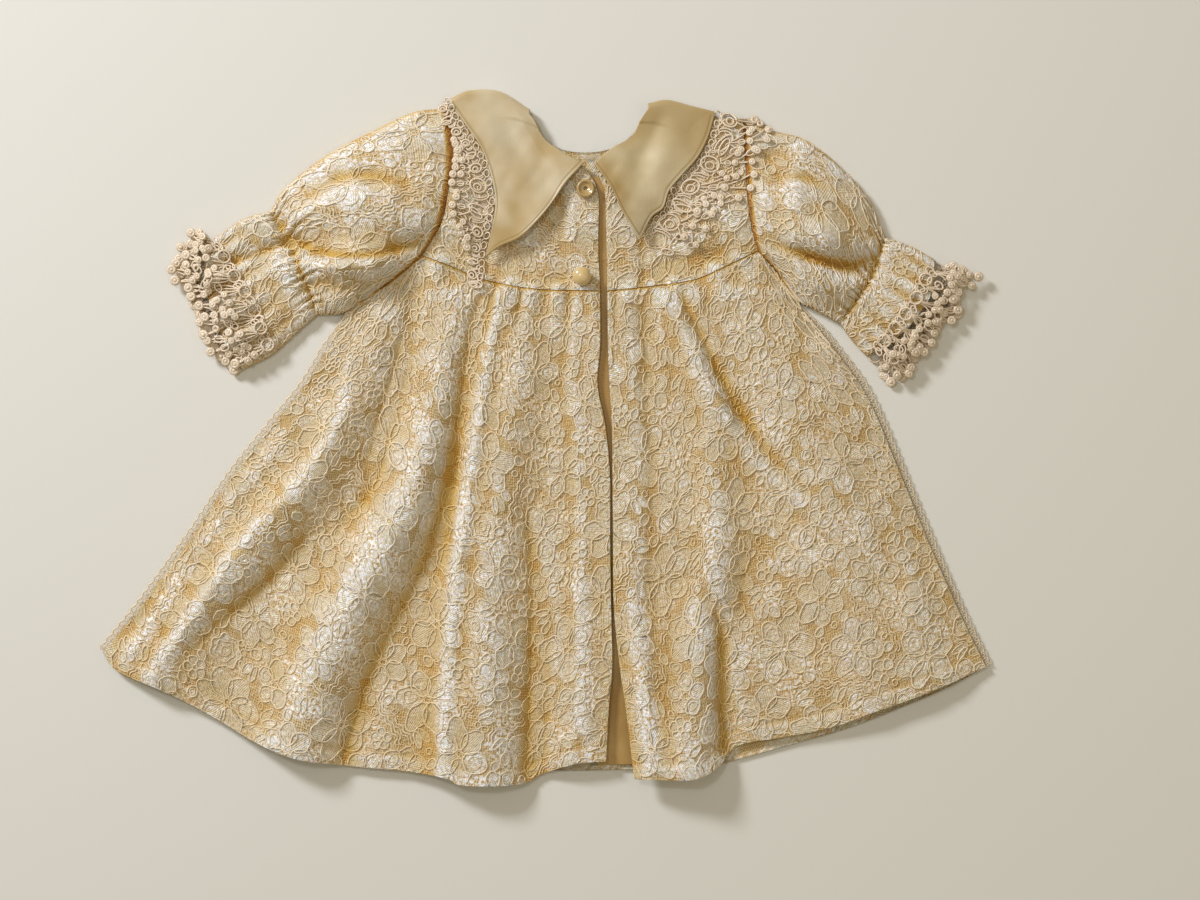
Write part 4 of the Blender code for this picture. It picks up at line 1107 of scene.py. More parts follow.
def bump(tree, shader, height, distance):
    """Bump from a height, in metres of distance."""
    node = add(tree, "ShaderNodeBump")
    node.inputs["Distance"].default_value = distance
    tree.links.new(height, node.inputs["Height"])
    tree.links.new(node.outputs["Normal"], shader.inputs["Normal"])


def set_shader(tree, shader, **values):
    """Give the shader's sockets their values, each under its name in small letters."""
    for key, value in values.items():
        name = key.replace("_", " ").title().replace("Ior", "IOR")
        plug(tree, shader.inputs[name], value)


def painted_fold_light(tree, colour, hollow, crest, valley):
    """A colour with painted highlight on the crests and painted shade in the hollows, with deeper brown
    painted shade where the hollow value goes past 1.
    """
    tint = mix_colour(tree, hollow, crest, valley)
    deepest = maths(tree, "SUBTRACT", hollow, 1.0, clamp=True)
    deep_painted_shade = mix_colour(tree, deepest, (1.0, 1.0, 1.0), (0.62, 0.42, 0.34))
    return multiplied(tree, multiplied(tree, colour, tint), deep_painted_shade)


def lace_material():
    """Fine net over golden satin, with denser threads in the petals, painted glints and highlight on the
    crests, and painted shade in the hollows.
    """
    material, tree, shader = node_material("lace_over_satin")
    cloth = attribute(tree, "cloth", "Vector")
    fill, shine, rib, hollow = (attribute(tree, name) for name in ("fill", "shine", "rib", "hollow"))
    net = add(tree, "ShaderNodeTexVoronoi", feature="DISTANCE_TO_EDGE")
    for key, value in (("Scale", 0.74), ("Randomness", 0.35), ("Vector", cloth)):
        plug(tree, net.inputs[key], value)
    thread = maths(tree, "LESS_THAN", net.outputs["Distance"], 0.17)
    gold = mix_colour(tree, noise(tree, cloth, 0.05, 3.0), (0.38, 0.22, 0.052), (0.58, 0.41, 0.16))
    netted = mix_colour(tree, times(tree, thread, 0.8), gold, (0.80, 0.67, 0.42))
    ribs = maths(tree, "MULTIPLY_ADD", maths(tree, "SINE", times(tree, rib, 6.5)), 0.5, 0.5)
    dents = noise(tree, cloth, 0.55, 2.0)
    threads = maths(tree, "MULTIPLY_ADD", ribs, 0.5, times(tree, dents, 0.6))
    petal = mix_colour(tree, threads, (0.58, 0.45, 0.21), (0.90, 0.86, 0.73))
    colour = mix_colour(tree, times(tree, fill, 0.9), netted, petal)
    # Painted highlight: white glint spots and broad sheen patches on the crests and on shiny petals,
    # painted into the colour
    crest = maths(tree, "SUBTRACT", 1.0, times(tree, hollow, 1.6), clamp=True)
    sheen = spread(tree, noise(tree, cloth, 0.035, 2.0), 0.44, 0.60)
    spots = spread(tree, noise(tree, cloth, 0.5, 3.0), 0.44, 0.60)
    petal_gleam = times(tree, times(tree, shine, fill), crest)
    gleam = maths(tree, "MAXIMUM", petal_gleam, times(tree, crest, sheen))
    glint = times(tree, gleam, spots)
    painted_glints = mix_colour(tree, times(tree, glint, 2.0, True), colour, (1.0, 0.985, 0.95))
    height = maths(tree, "ADD", times(tree, thread, 0.45), times(tree, times(tree, ribs, fill), 0.4))
    bump(tree, shader, maths(tree, "ADD", height, times(tree, dents, 2.2)), 0.0005)
    # Painted highlight whitens the crests, painted shade turns the hollows golden and brown
    set_shader(tree, shader,
               base_color=painted_fold_light(tree, painted_glints, hollow, (1.0, 1.04, 1.2), (0.92, 0.70, 0.27)),
               roughness=maths(tree, "MULTIPLY_ADD", glint, -0.3, 0.56),
               specular_ior_level=maths(tree, "MULTIPLY_ADD", glint, 1.0, 0.3),
               subsurface_weight=0.25, subsurface_radius=(1.0, 0.55, 0.2),
               subsurface_scale=3.0 * MM)
    return material


def cord_material(name, colour, dark, roughness):
    """Twisted cord: pale yarn with darker turns, with painted shade that makes it golden in the folds'
    hollows and painted highlight on crests.
    """
    material, tree, shader = node_material(name)
    place = add(tree, "ShaderNodeTexCoord").outputs["Object"]
    hollow = attribute(tree, "hollow")
    turns = noise(tree, place, 1300.0, 1.0)
    both = maths(tree, "ADD", times(tree, noise(tree, place, 60.0, 2.0), 0.5), times(tree, turns, 0.5))
    yarn = mix_colour(tree, both, dark, colour)
    # Painted highlight on the crests and painted shade in the hollows, from the hollow value
    set_shader(tree, shader, roughness=roughness, specular_ior_level=0.6,
               base_color=painted_fold_light(tree, yarn, hollow, (1.03, 1.08, 1.3), (0.88, 0.68, 0.30)))
    bump(tree, shader, turns, 0.0003)
    return material


def satin_material(name, light, dark, roughness):
    """Satin with a soft cloudy sheen painted into its colour, a fine weave and a stitched edge, with
    painted shade where its shade value is set.
    """
    material, tree, shader = node_material(name)
    place = add(tree, "ShaderNodeTexCoord").outputs["Object"]
    rim, shade = attribute(tree, "rim"), attribute(tree, "shade")
    # Painted sheen: soft clouds between the dark and the light colour
    painted_sheen_clouds = spread(tree, noise(tree, place, 22.0, 3.0), 0.38, 0.70)
    ground = mix_colour(tree, times(tree, shade, 0.8), mix_colour(tree, painted_sheen_clouds, dark, light), dark)
    seam = tuple(channel * 0.8 for channel in dark)
    set_shader(tree, shader, roughness=roughness, sheen_weight=0.2, anisotropic=0.3,
               base_color=mix_colour(tree, times(tree, rim, 0.7), ground, seam))
    long_weave = add(tree, "ShaderNodeVectorMath", operation="MULTIPLY")
    plug(tree, long_weave.inputs[0], place)
    plug(tree, long_weave.inputs[1], (2400.0, 900.0, 900.0))
    weave = noise(tree, long_weave.outputs[0], 1.0, 1.0)
    bump(tree, shader, maths(tree, "SUBTRACT", times(tree, weave, 0.4), rim), 0.0002)
    return material


def gloss_material(name, colour, roughness):
    """Pearl or polished plastic with a soft bloom."""
    material, tree, shader = node_material(name)
    place = add(tree, "ShaderNodeTexCoord").outputs["Object"]
    paler = tuple(min(1.0, channel * 1.12) for channel in colour)
    set_shader(tree, shader, roughness=roughness, specular_ior_level=0.9,
               coat_weight=1.0, coat_roughness=0.05,
               base_color=mix_colour(tree, noise(tree, place, 220.0, 2.0), colour, paler))
    return material


# Pieces


def front_surface(plan, seed, skirt):
    """Points of the outer face of the front cloth over a plan."""
    x, y = plan[..., 0], plan[..., 1]
    step = 0.5
    across = (front_rise(x + step, y) - front_rise(x - step, y)) / (2 * step)
    down = (front_rise(x, y + step) - front_rise(x, y - step)) / (2 * step)
    z = front_face(x, y) + WALL * np.sqrt(1.0 + across ** 2 + down ** 2)
    below, above = from_ends(plan, 0)
    left, right = from_ends(plan, 1)
    seam = below if skirt else np.minimum(np.minimum(below, above), np.minimum(left, right))
    z = z + (1.0 if skirt else 0.8) * crumple(x, y, seed) * smooth(seam / 6.0)
    if skirt:
        turned_up = HEM_STEP * smooth((HEM_DEPTH - above) / 1.5)
        stitches = HEM_STITCH * np.exp(-((above - HEM_DEPTH) / 1.3) ** 2)
        z = z + turned_up - stitches - SEAM_DIP * (1.0 - smooth(below / 3.0))
    else:
        z = z + SEAM_DIP * (1.0 - smooth(above / 4.0))
    return with_height(plan, z)


def lace_cloth(name, points, faces, sheet, motifs, arrange, materials):
    """A panel's cloth, with its place, its petals and its hollows stored on the mesh."""
    cloth = object_from(name + "_cloth", points, faces, materials["lace"])
    v = np.broadcast_to(sheet.v[:, None], sheet.u.shape)
    filled, shine, rib = motifs.fill(sheet.u.ravel(), v.ravel())
    place = np.stack([sheet.u, v, np.zeros_like(v)], axis=-1)
    set_attribute(cloth, "cloth", arrange(place), "FLOAT_VECTOR")
    for key, values in (("fill", filled), ("shine", shine), ("rib", rib), ("hollow", sheet.hollow)):
        set_attribute(cloth, key, arrange(values.reshape(sheet.u.shape)))
    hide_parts(name)
    return cloth


def side_net(name, side, outward, material):
    """The net that stands out beyond a side of the skirt: zigzag threads and a scalloped edge."""
    line = smooth_line(side, 130)
    tangent = np.gradient(line, axis=0)
    normal = outward * unit(np.stack([-tangent[:, 1], tangent[:, 0]], axis=1))
    run = np.arange(len(line)) * step_lengths(line).mean()
    scallops = 0.82 + 0.18 * np.cos(run * 2 * math.pi / NET_SCALLOP)
    reach = normal * (NET_REACH * scallops * smooth(run / NET_GROW))[:, None]
    fine_run = np.linspace(0.0, run[-1], 3 * len(line))
    base = np.column_stack([np.interp(fine_run, run, line[:, axis]) for axis in (0, 1)])
    out = np.column_stack([np.interp(fine_run, run, reach[:, axis]) for axis in (0, 1)])
    lines = []
    for share, thick, pitch, swing in NET_THREADS:
        wave = share + swing * np.sin(fine_run * 2 * math.pi / pitch)
        lines.append((with_height(base + out * wave[:, None], NET_HEIGHT), False, thick))
    return tube_mesh(name, lines, material, 4)


def front_plans():
    """The plans of the skirt and yoke halves of the front, by name."""
    rows = int(SKIRT_LENGTH / CELL)
    left_top = corner_line(LEFT_ARMHOLE_LOW[::-1], LEFT_YOKE_SEAM, int(LEFT_SKIRT_WIDTH / CELL))
    right_top = corner_line(RIGHT_YOKE_SEAM, RIGHT_ARMHOLE_LOW, int(RIGHT_SKIRT_WIDTH / CELL))
    plans = {
        "front_skirt_left": skirt_plan(left_top, LEFT_SIDE, LEFT_FRONT, LEFT_CORNER, rows),
        "front_skirt_right": skirt_plan(right_top, RIGHT_SIDE, RIGHT_FRONT, RIGHT_CORNER, rows),
    }
    columns, rows = int(YOKE_WIDTH / CELL), int(YOKE_LENGTH / CELL)
    top = corner_line((LEFT_ARMHOLE[0], LEFT_NECK[0]), LEFT_NECK, columns)
    plans["front_yoke_left"] = patch(top, smooth_line(LEFT_YOKE_SEAM, columns),
                                     smooth_line(LEFT_ARMHOLE, rows),
                                     smooth_line(LEFT_YOKE_FRONT, rows))
    top = corner_line(RIGHT_NECK[::-1], (RIGHT_NECK[0], RIGHT_ARMHOLE[0]), columns)
    plans["front_yoke_right"] = patch(top, smooth_line(RIGHT_YOKE_SEAM, columns),
                                      smooth_line(RIGHT_YOKE_FRONT, rows),
                                      smooth_line(RIGHT_ARMHOLE, rows))
    return plans


def front_panels(materials):
    """The skirt and yoke halves of the front: cloth, raised cords and the nets at the sides."""
    cord = materials["cord"]
    nets = {"front_skirt_left": side_net("front_skirt_left_net", LEFT_SIDE, -1, cord),
            "front_skirt_right": side_net("front_skirt_right_net", RIGHT_SIDE, 1, cord)}
    crumple_seeds = (11, 23, 31, 43)
    made = []
    for number, (name, plan) in enumerate(front_plans().items()):
        skirt = name in nets
        points = front_surface(plan, crumple_seeds[number], skirt)
        sheet = Sheet(points, 0.6 if skirt else 1.0, name.endswith("left"))
        if skirt:
            sheet.hollow[0] = SEAM_SHADE
        motifs = Motifs(sheet, 101 + number)
        grid = rimmed(sheet.points)
        faces = grid_faces(*grid.shape[:2])
        cloth = lace_cloth(name, grid, faces, sheet, motifs, padded_edges, materials)
        others = [cord_mesh(name, sheet, motifs.cords, cord)]
        if skirt:
            made.append((cloth, others + [nets[name]], points, "gathered", ["back_skirt_cloth"]))
        else:
            made.append((cloth, others, points, "laid", ["back_yoke_cloth"]))
    return made


def back_panel(name, plan, seed, materials):
    """A back panel: two layers joined round their rim, with the lace turned down."""
    rise = back_rise(plan[..., 0], plan[..., 1])
    under, over = with_height(plan, rise + BACK_CORD_ROOM), with_height(plan, rise + WALL)
    sheet = Sheet(under, 0.8)
    motifs = Motifs(sheet, seed)
    rows, columns = sheet.u.shape
    count = rows * columns
    index = np.arange(count).reshape(rows, columns)
    ring = np.concatenate([index[0], index[1:, -1], index[-1, -2::-1], index[-2:0:-1, 0]])
    after = np.roll(ring, -1)
    rim = np.stack([ring, after, after + count, ring + count], axis=-1)
    faces = grid_faces(rows, columns)
    faces = np.concatenate([faces, faces[:, ::-1] + count, rim])
    cloth = lace_cloth(name, np.stack([under, over]), faces, sheet, motifs,
                       lambda values: np.stack([values, values]), materials)
    sheet.normals = -sheet.normals
    coarse = [(line[::2] if len(line) > LONG_CORD else line, closed, thick)
              for line, closed, thick in motifs.cords]
    cords = cord_mesh(name, sheet, coarse, materials["cord"], 0.0, BACK_CORD_SIZE)
    return cloth, [cords], under, "laid", []


def back_panels(materials):
    """The back skirt and yoke, flat on the floor."""
    rows = int(SKIRT_LENGTH / CELL / BACK_SKIRT_CELLS)
    columns = int(BACK_SKIRT_WIDTH / CELL / BACK_SKIRT_CELLS)
    ends = (int(columns * 0.14), int(columns * 0.09))
    top = cornered_line(LEFT_ARMHOLE_LOW[::-1], BACK_YOKE_SEAM, RIGHT_ARMHOLE_LOW, columns, ends)
    hem = [(x, y) for x, _, y in HEM_ROWS]
    bottom = smooth_line([LEFT_CORNER, *hem, RIGHT_CORNER], len(top))
    skirt = patch(top, bottom, smooth_line(LEFT_SIDE, rows), smooth_line(RIGHT_SIDE, rows))
    rows = int(YOKE_LENGTH / CELL / BACK_YOKE_CELLS)
    columns = int(BACK_YOKE_WIDTH / CELL / BACK_YOKE_CELLS)
    end = int(columns * 0.22)
    top = cornered_line((LEFT_ARMHOLE[0], LEFT_NECK[0]), BACK_NECK,
                        (RIGHT_NECK[0], RIGHT_ARMHOLE[0]), columns, (end, end))
    yoke = patch(top, smooth_line(BACK_YOKE_SEAM, len(top)), smooth_line(LEFT_ARMHOLE, rows),
                 smooth_line(RIGHT_ARMHOLE, rows))
    return [back_panel("back_skirt", skirt, 211, materials),
            back_panel("back_yoke", yoke, 223, materials)]


def sleeve_surface(name, plan, along, seed):
    """Points of a sleeve's upper face, with its creases, its elastic's pleats and its frill."""
    down = np.linspace(0.0, 1.0, plan.shape[1])
    span = along[:, None] + np.zeros(len(down))
    side = np.broadcast_to(down, span.shape)
    x, y = plan[..., 0], plan[..., 1]
    edge = smooth(side / 0.06) * smooth((1.0 - side) / 0.06)
    turn = 14 * side + 0.35 * np.sin(11 * side) + 0.25 * np.sin(23 * side + seed)
    pleats = np.sin(2 * math.pi * turn) * (0.9 + 0.5 * np.sin(31 * side))
    pleats = pleats * np.exp(-((span - 1.0) / 0.16) ** 2)
    elastic = -1.5 * np.exp(-((span - 1.0) / 0.03) ** 2)
    frill = smooth((span - 1.05) / 0.9) * np.sin(2 * math.pi * 6.5 * side + 0.7) * 1.1
    dents = crumple(x, y, seed) * 1.3 * smooth(span / 0.06)
    folds = 1.8 * fold_height(x, y, SLEEVE_CREASES, 1.3) * smooth(span / 0.1)
    armhole = -ARMHOLE_DIP[name] * np.exp(-(span / 0.022) ** 2)
    relief = (dents + pleats + elastic + frill + folds) * edge + armhole * edge
    lowest = LAYER + 0.75 * WALL
    z = np.maximum(sleeve_rise(plan, span, side) + 1.2 * WALL + relief, lowest)
    z[:, 0] = z[:, -1] = lowest
    return with_height(plan, z)


def sleeve_piece(name, sleeve, seed, materials):
    """A puffed sleeve with its elastic and frill, and the lace on its front."""
    columns = int(SLEEVE_WIDTH / CELL)
    rows = (int(PUFF_LENGTH / CELL), int(FRILL_LENGTH / CELL))
    plan, along = sleeve_plan(sleeve, rows, columns)
    sheet = Sheet(sleeve_surface(name, plan, along, seed), 0.6, name == "sleeve_left")
    sheet.hollow[:len(ARMHOLE_SHADE)] = np.array(ARMHOLE_SHADE)[:, None]
    motifs = Motifs(sheet, seed)
    pick = np.linspace(0, columns - 1, SLEEVE_BACK_COLUMNS).round().astype(int)[::-1]
    back = with_height(sheet.points[:, pick, :2], SLEEVE_BACK_HEIGHT)
    whole = np.concatenate([sheet.points, back], axis=1)
    cloth = lace_cloth(name, whole, grid_faces(*whole.shape[:2], True), sheet, motifs,
                       lambda values: np.concatenate([values, values[:, pick]], axis=1), materials)
    cords = cord_mesh(name, sheet, motifs.cords, materials["cord"])
    return cloth, [cords], whole, "gathered", ["back_yoke_cloth"]


def facing_piece(materials):
    """The satin strip that shows in the front opening, shaded above and lighter at the hem."""
    top, bottom = FACING_ENDS
    heights = np.linspace(top, bottom, 190)
    offsets = np.linspace(-FACING_HALF, FACING_HALF, 14)
    x = front_middle(heights)[:, None] + offsets[None, :]
    y = heights[:, None] + np.zeros_like(x)
    z = back_rise(x, y) + LAYER + WALL + 0.12 * lattice_noise(x, y, 6.0, 5)
    points = np.stack([x, y, z], axis=-1)
    grid = rimmed(points, 2)
    piece = object_from("front_facing_satin", grid, grid_faces(*grid.shape[:2]), materials["facing"])
    set_attribute(piece, "shade", smooth((grid[..., 1] - FACING_LIGHT_END) / FACING_SHADE_FADE))
    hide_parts("front_facing")


def collar_rest(plan, cover):
    """The smoothed heights of what lies under a collar half's front."""
    low = cover.tops(plan[::2, ::2], 2.2) + COLLAR_GAP
    low = np.repeat(np.repeat(low, 2, axis=0), 2, axis=1)[:plan.shape[0], :plan.shape[1]]
    for _ in range(COLLAR_SMOOTHINGS):
        inner = low.copy()
        inner[1:-1] = (low[:-2] + 2 * low[1:-1] + low[2:]) / 4
        inner[:, 1:-1] = (inner[:, :-2] + 2 * inner[:, 1:-1] + inner[:, 2:]) / 4
        low = np.maximum(inner, low - 0.04)
    return low


def collar_front(plan, cover, seed):
    """Points of the outer face of a collar half's front, from its edge to the roll."""
    rows, columns = plan.shape[:2]
    along = np.linspace(0.0, 1.0, rows)[:, None]
    across = np.linspace(0.0, 1.0, columns)[None, :]
    lift = COLLAR_FRONT_LIFT * np.sin(math.pi * np.clip(across * 0.8 + 0.1, 0, 1)) * (1 - along) ** 2
    low = collar_rest(plan, cover) + (lift + COLLAR_OUTER_LIFT * across * (1.0 - along))
    roll = (COLLAR_TOP - COLLAR_WALL) * smooth((along - 0.62) / 0.2)
    low = np.maximum(np.maximum(low, roll), COLLAR_LOWEST)
    x, y = plan[..., 0], plan[..., 1]
    ripple = 0.75 * lattice_noise(x + y, y, 21.0, seed) + 0.3 * lattice_noise(x - y, x, 9.0, seed + 1)
    ripple = ripple + fold_height(x, y, COLLAR_FOLDS)
    flat_end = smooth((along - 0.8) / 0.2)
    high = low + 1.05 * COLLAR_WALL + (ripple + 0.35) * (1.0 - flat_end) * np.minimum(1.0, 4 * across)
    high[-1] = COLLAR_TOP
    return with_height(plan, high)


class Cover:
    """The pieces already laid, to find their top at a place."""

    def __init__(self, items):
        self.trees = []
        for item in items:
            mesh = item.data
            points = [vertex.co.copy() for vertex in mesh.vertices]
            self.trees.append(BVHTree.FromPolygons(points, [tuple(p.vertices) for p in mesh.polygons]))

    def top(self, x, y, reach):
        """Highest point within a small reach of a place, or zero off the cloth."""
        best = 0.0
        for turn in range(7):
            angle = turn * math.pi / 3
            far = reach if turn < 6 else 0.0
            start = Vector(((x + far * math.cos(angle) - MIDDLE_X) * MM,
                            (y + far * math.sin(angle)) * MM, 0.1))
            for tree in self.trees:
                hit = tree.ray_cast(start, Vector((0.0, 0.0, -1.0)))[0]
                if hit is not None:
                    best = max(best, hit.z / MM)
        return best

    def tops(self, plan, reach):
        """The highest points for a grid of places."""
        return np.array([self.top(x, y, reach) for x, y in plan.reshape(-1, 2)]).reshape(plan.shape[:-1])


def collar_piece(name, collar, cover, seed, materials):
    """A satin collar half: the front point, the roll over the shoulder and the flap behind."""
    columns, front_rows, roll_rows, back_rows = 60, 84, 12, 20
    radius = COLLAR_TOP / 2
    fold_in = smooth_line(collar["fold"], columns) - (0.0, radius)
    start, end = tuple(fold_in[0]), tuple(fold_in[-1])
    neck = smooth_line((*collar["neck"][:-1], start), front_rows)
    outer = smooth_line((*collar["outer"][:-1], end), front_rows)
    plan = patch(smooth_line(collar["front"], columns), fold_in, neck, outer)
    rows = [collar_front(plan, cover, seed)]
    for turn in np.linspace(0.0, math.pi, roll_rows + 1)[1:]:
        place = fold_in + (0.0, radius * math.sin(turn))
        rows.append(with_height(place, radius + radius * math.cos(turn))[None])
    middle_line = smooth_line((collar["back_neck"][-1], collar["back_outer"][-1]), columns)
    back_plan = patch(fold_in, middle_line,
                      smooth_line((start, *collar["back_neck"][1:]), back_rows + 1),
                      smooth_line((end, *collar["back_outer"][1:]), back_rows + 1))[1:]
    rows.append(with_height(back_plan, COLLAR_BACK_HEIGHT))
    points = np.concatenate(rows)
    piece = object_from(name + "_satin", points, grid_faces(*points.shape[:2]), materials[name])
    down = from_ends(plan, 0)[0]
    from_outer = np.linalg.norm(plan - plan[:, -1:], axis=-1)
    seam = np.exp(-((np.minimum(down, from_outer) - COLLAR_SEAM) / 0.5) ** 2)
    rest = len(points) - front_rows
    set_attribute(piece, "rim", np.concatenate([seam, np.zeros((rest, columns))]))
    shade = smooth(np.linspace(-0.1, 1.0, front_rows))
    shade = COLLAR_SHADE[name] * np.concatenate([shade, np.ones(rest)])
    set_attribute(piece, "shade", np.repeat(shade, columns))
    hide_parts(name)
    solid = piece.modifiers.new("thickness", "SOLIDIFY")
    solid.thickness = 0.85 * MM
    solid.offset = -1.0
    if piece.data.polygons[0].normal.z < 0:
        piece.data.flip_normals()
    return piece


# Guipure edgings: cord loops between a sewn edge and a row of round picots


class Edging:
    """A guipure edging: cords and round picots placed along and across it, in millimetres."""

    def __init__(self, sections, height, seed):
        self.random = np.random.default_rng(seed)
        self.table = smooth_line(sections, 120)
        inner, outer = self.table[:, :2], self.table[:, 2:]
        middle = 0.5 * (inner + outer)
        self.run = run_along(middle)
        self.length = float(self.run[-1])
        self.widths = np.linalg.norm(outer - inner, axis=1)
        self.height = height
        self.lines = []
        ahead = middle[-1] - middle[0]
        out = outer[60] - inner[60]
        self.turn = 1.0 if ahead[0] * -out[1] + ahead[1] * out[0] > 0 else -1.0

    def width(self, s):
        """How wide the edging is at a place along it."""
        return float(np.interp(s, self.run, self.widths))

    def frame(self, s, d):
        """A place along and across the edging, with the directions along and out from it."""
        row = np.array([np.interp(s, self.run, self.table[:, axis]) for axis in range(4)])
        out = unit(row[2:] - row[:2])
        return row[:2] + out * d, self.turn * np.array((-out[1], out[0])), out

    def lay(self, plan, share, closed, thick, lift):
        """Lay a cord on what is under it."""
        z = self.height(plan, share)
        if len(z) > 6:
            z = np.convolve(np.pad(z, 2, mode="wrap" if closed else "edge"), np.ones(5) / 5, "valid")
        self.lines.append((with_height(plan, z + lift), closed, thick))

    def loop(self, s, d, long, wide, spin=0.0, thick=0.55, lift=0.6):
        """An oval of cord, from half its length across the edging and half its width along it."""
        t = full_turn(max(10, int(2.4 * (long + wide))))
        x, y = wide * np.cos(t), long * np.sin(t)
        x, y = x * math.cos(spin) - y * math.sin(spin), x * math.sin(spin) + y * math.cos(spin)
        centre, along, out = self.frame(s, d)
        plan = centre + x[:, None] * along + y[:, None] * out
        self.lay(plan, (d + y) / self.width(s), True, thick, lift + self.random.uniform(-0.15, 0.35))

    def strand(self, start, end, bow, thick=0.5):
        """A bowed cord between two places on the edging."""
        first, _, _ = self.frame(*start)
        last, _, _ = self.frame(*end)
        t = np.linspace(0.0, 1.0, 9)
        across = unit(np.array((first[1] - last[1], last[0] - first[0])))
        plan = first + (last - first) * t[:, None] + across * (bow * np.sin(math.pi * t))[:, None]
        d = start[1] + (end[1] - start[1]) * t
        share = d / self.width(0.5 * (start[0] + end[0]))
        self.lay(plan, share, False, thick, 0.5 + self.random.uniform(-0.1, 0.3))

    def disc(self, s, d, radius):
        """A round picot: a wound ring about a bead of thread."""
        self.loop(s, d, 0.62 * radius, 0.62 * radius, 0.0, 0.36 * radius, 0.4 * radius + 0.3)
        centre, _, _ = self.frame(s, d)
        z = float(self.height(centre[None], np.array([d / self.width(s)]))[0])
        share = np.linspace(-1.0, 1.0, 6)
        bead = 0.52 * radius
        points = np.column_stack([centre[0] + bead * share, np.full(6, centre[1]),
                                  np.full(6, z + 0.45 * radius + 0.3)])
        self.lines.append((points, False, bead * np.sqrt(np.maximum(1.0 - share ** 2, 0.002))))

    def wave(self, d, swing, pitch, thick):
        """A wavy cord along the whole edging."""
        s = np.linspace(0.5, self.length - 0.5, int(self.length / 0.7))
        frames = [self.frame(place, d + swing * math.sin(place * 2 * math.pi / pitch)) for place in s]
        share = np.array([d / self.width(place) for place in s])
        self.lay(np.array([frame[0] for frame in frames]), share, False, thick, 0.6)

    def fan(self, s, d, reach, spread, radius, middle_loop):
        """Three strands that spread from one place and end in picots."""
        for share in (-0.5, 0.0, 0.5):
            far = reach * (1.0 - 0.22 * (2 * share) ** 2) * self.random.uniform(0.93, 1.05)
            end = (s + share * spread, d + far)
            self.strand((s + 0.25 * share * spread, d), (end[0], end[1] - radius), 0.9 * share)
            self.disc(*end, radius * self.random.uniform(0.88, 1.08))
            if middle_loop and share == 0.0:
                self.loop(s, d + 0.55 * far, 0.2 * reach, 1.3, 0.0, 0.45)


def collar_edging(lace):
    """Long loops at the shoulder, then fans that end in picots, then rings and a hanging end."""
    random = lace.random
    for s in np.arange(1.8, lace.length - 1.0, 4.6):
        lace.loop(s, 0.7 + random.uniform(-0.5, 0.6), 1.5, 2.0, random.uniform(-0.5, 0.5), 0.4)
    lace.wave(2.6, 0.8, 4.6, 0.42)
    s = 4.0
    number = 0
    while s < lace.length - 3.0:
        wide = lace.width(s)
        size = float(np.clip(wide / 26.0, 0.5, 1.0)) * random.uniform(0.9, 1.12)
        lean = random.uniform(-0.7, 0.7)
        d = 3.0 + 4.4 * size
        if number % 3 == 1:
            lace.loop(s, d + 0.6, 6.2 * size, 2.6 * size, lean, 0.58)
            lace.loop(s + 2.6 * size, d + 1.8, 5.0 * size, 2.0 * size, lean + 0.3, 0.5)
        else:
            lace.loop(s, d, 4.9 * size, 3.9 * size, lean, 0.6)
            lace.loop(s + 0.8 * size, d + 0.6 * size, 2.3 * size, 1.9 * size, lean, 0.5)
        for shift in (5.2, 6.6):
            lace.strand((s + shift * size, 3.0), (s + (shift + 1.4) * size, 3.0 + 8.0 * size), 0.9)
        start = 3.0 + 9.0 * size
        if wide > start + 3.0:
            rows = 2 if wide > 25.0 else 1
            step = (wide - start) / rows
            for row in range(rows):
                spread = (13.0 if row else 9.5) * size + 1.5
                lace.fan(s, start + row * step, step, spread, 2.3, row == 0)
                lace.loop(s + 0.55 * spread, start + (row + 0.45) * step, 0.3 * step, 1.5, 0.4, 0.45)
        s += 12.5 * size + 1.2
        number += 1
    tail = lace.length - 1.5
    lace.loop(tail, 0.5 * lace.width(tail), 3.4, 1.6, 0.2, 0.55)


def cuff_edging(lace):
    """Rings on the frill's edge, bundles of strands, and clusters of picots on stalks."""
    random = lace.random
    for number, s in enumerate(np.arange(3.5, lace.length - 2.0, 6.0)):
        if number % 2:
            lace.loop(s, 2.6, 3.3, 3.3, 0.0, 0.62)
        else:
            lace.loop(s, 2.2, 2.8, 1.8, random.uniform(-0.6, 0.6), 0.5)
            lace.loop(s + 1.4, 4.6, 2.2, 1.4, random.uniform(-0.8, 0.8), 0.45)
    lace.wave(0.6, 0.4, 3.0, 0.45)
    s = 4.0
    while s < lace.length - 2.0:
        wide = lace.width(s) * random.uniform(0.84, 1.02)
        for share in (-1.0, -0.35, 0.35, 1.0):
            end = (s + 3.4 * share, (0.46 + 0.06 * random.uniform(-1, 1)) * wide)
            lace.strand((s + 0.9 * share, 5.0), end, 0.9 * share, 0.45)
        for row, count in ((0.44, 2), (0.58, 3), (0.73, 2)):
            for item in range(count):
                beside = (item - 0.5 * (count - 1)) * 4.6 + random.uniform(-1.0, 1.0)
                place = (s + beside, row * wide + random.uniform(-1.8, 1.8))
                if random.uniform() < 0.3:
                    lace.loop(*place, 2.6, 1.7, random.uniform(-1.2, 1.2), 0.5)
                else:
                    lace.disc(*place, random.uniform(2.0, 2.5))
        for side in (-1.0, 1.0):
            stalk = (s + 1.2 * side, 0.62 * wide)
            end = (s + 2.7 * side + random.uniform(-0.8, 0.8), wide - 2.0 + random.uniform(-3.0, 1.0))
            lace.strand(stalk, end, 0.9 * side, 0.55)
            lace.strand((stalk[0] + 0.8, stalk[1]), (end[0] + 0.5, end[1] - 1.5), -0.7 * side, 0.45)
            lace.disc(*end, random.uniform(2.4, 3.0))
        s += 9.4 + random.uniform(-1.0, 1.0)


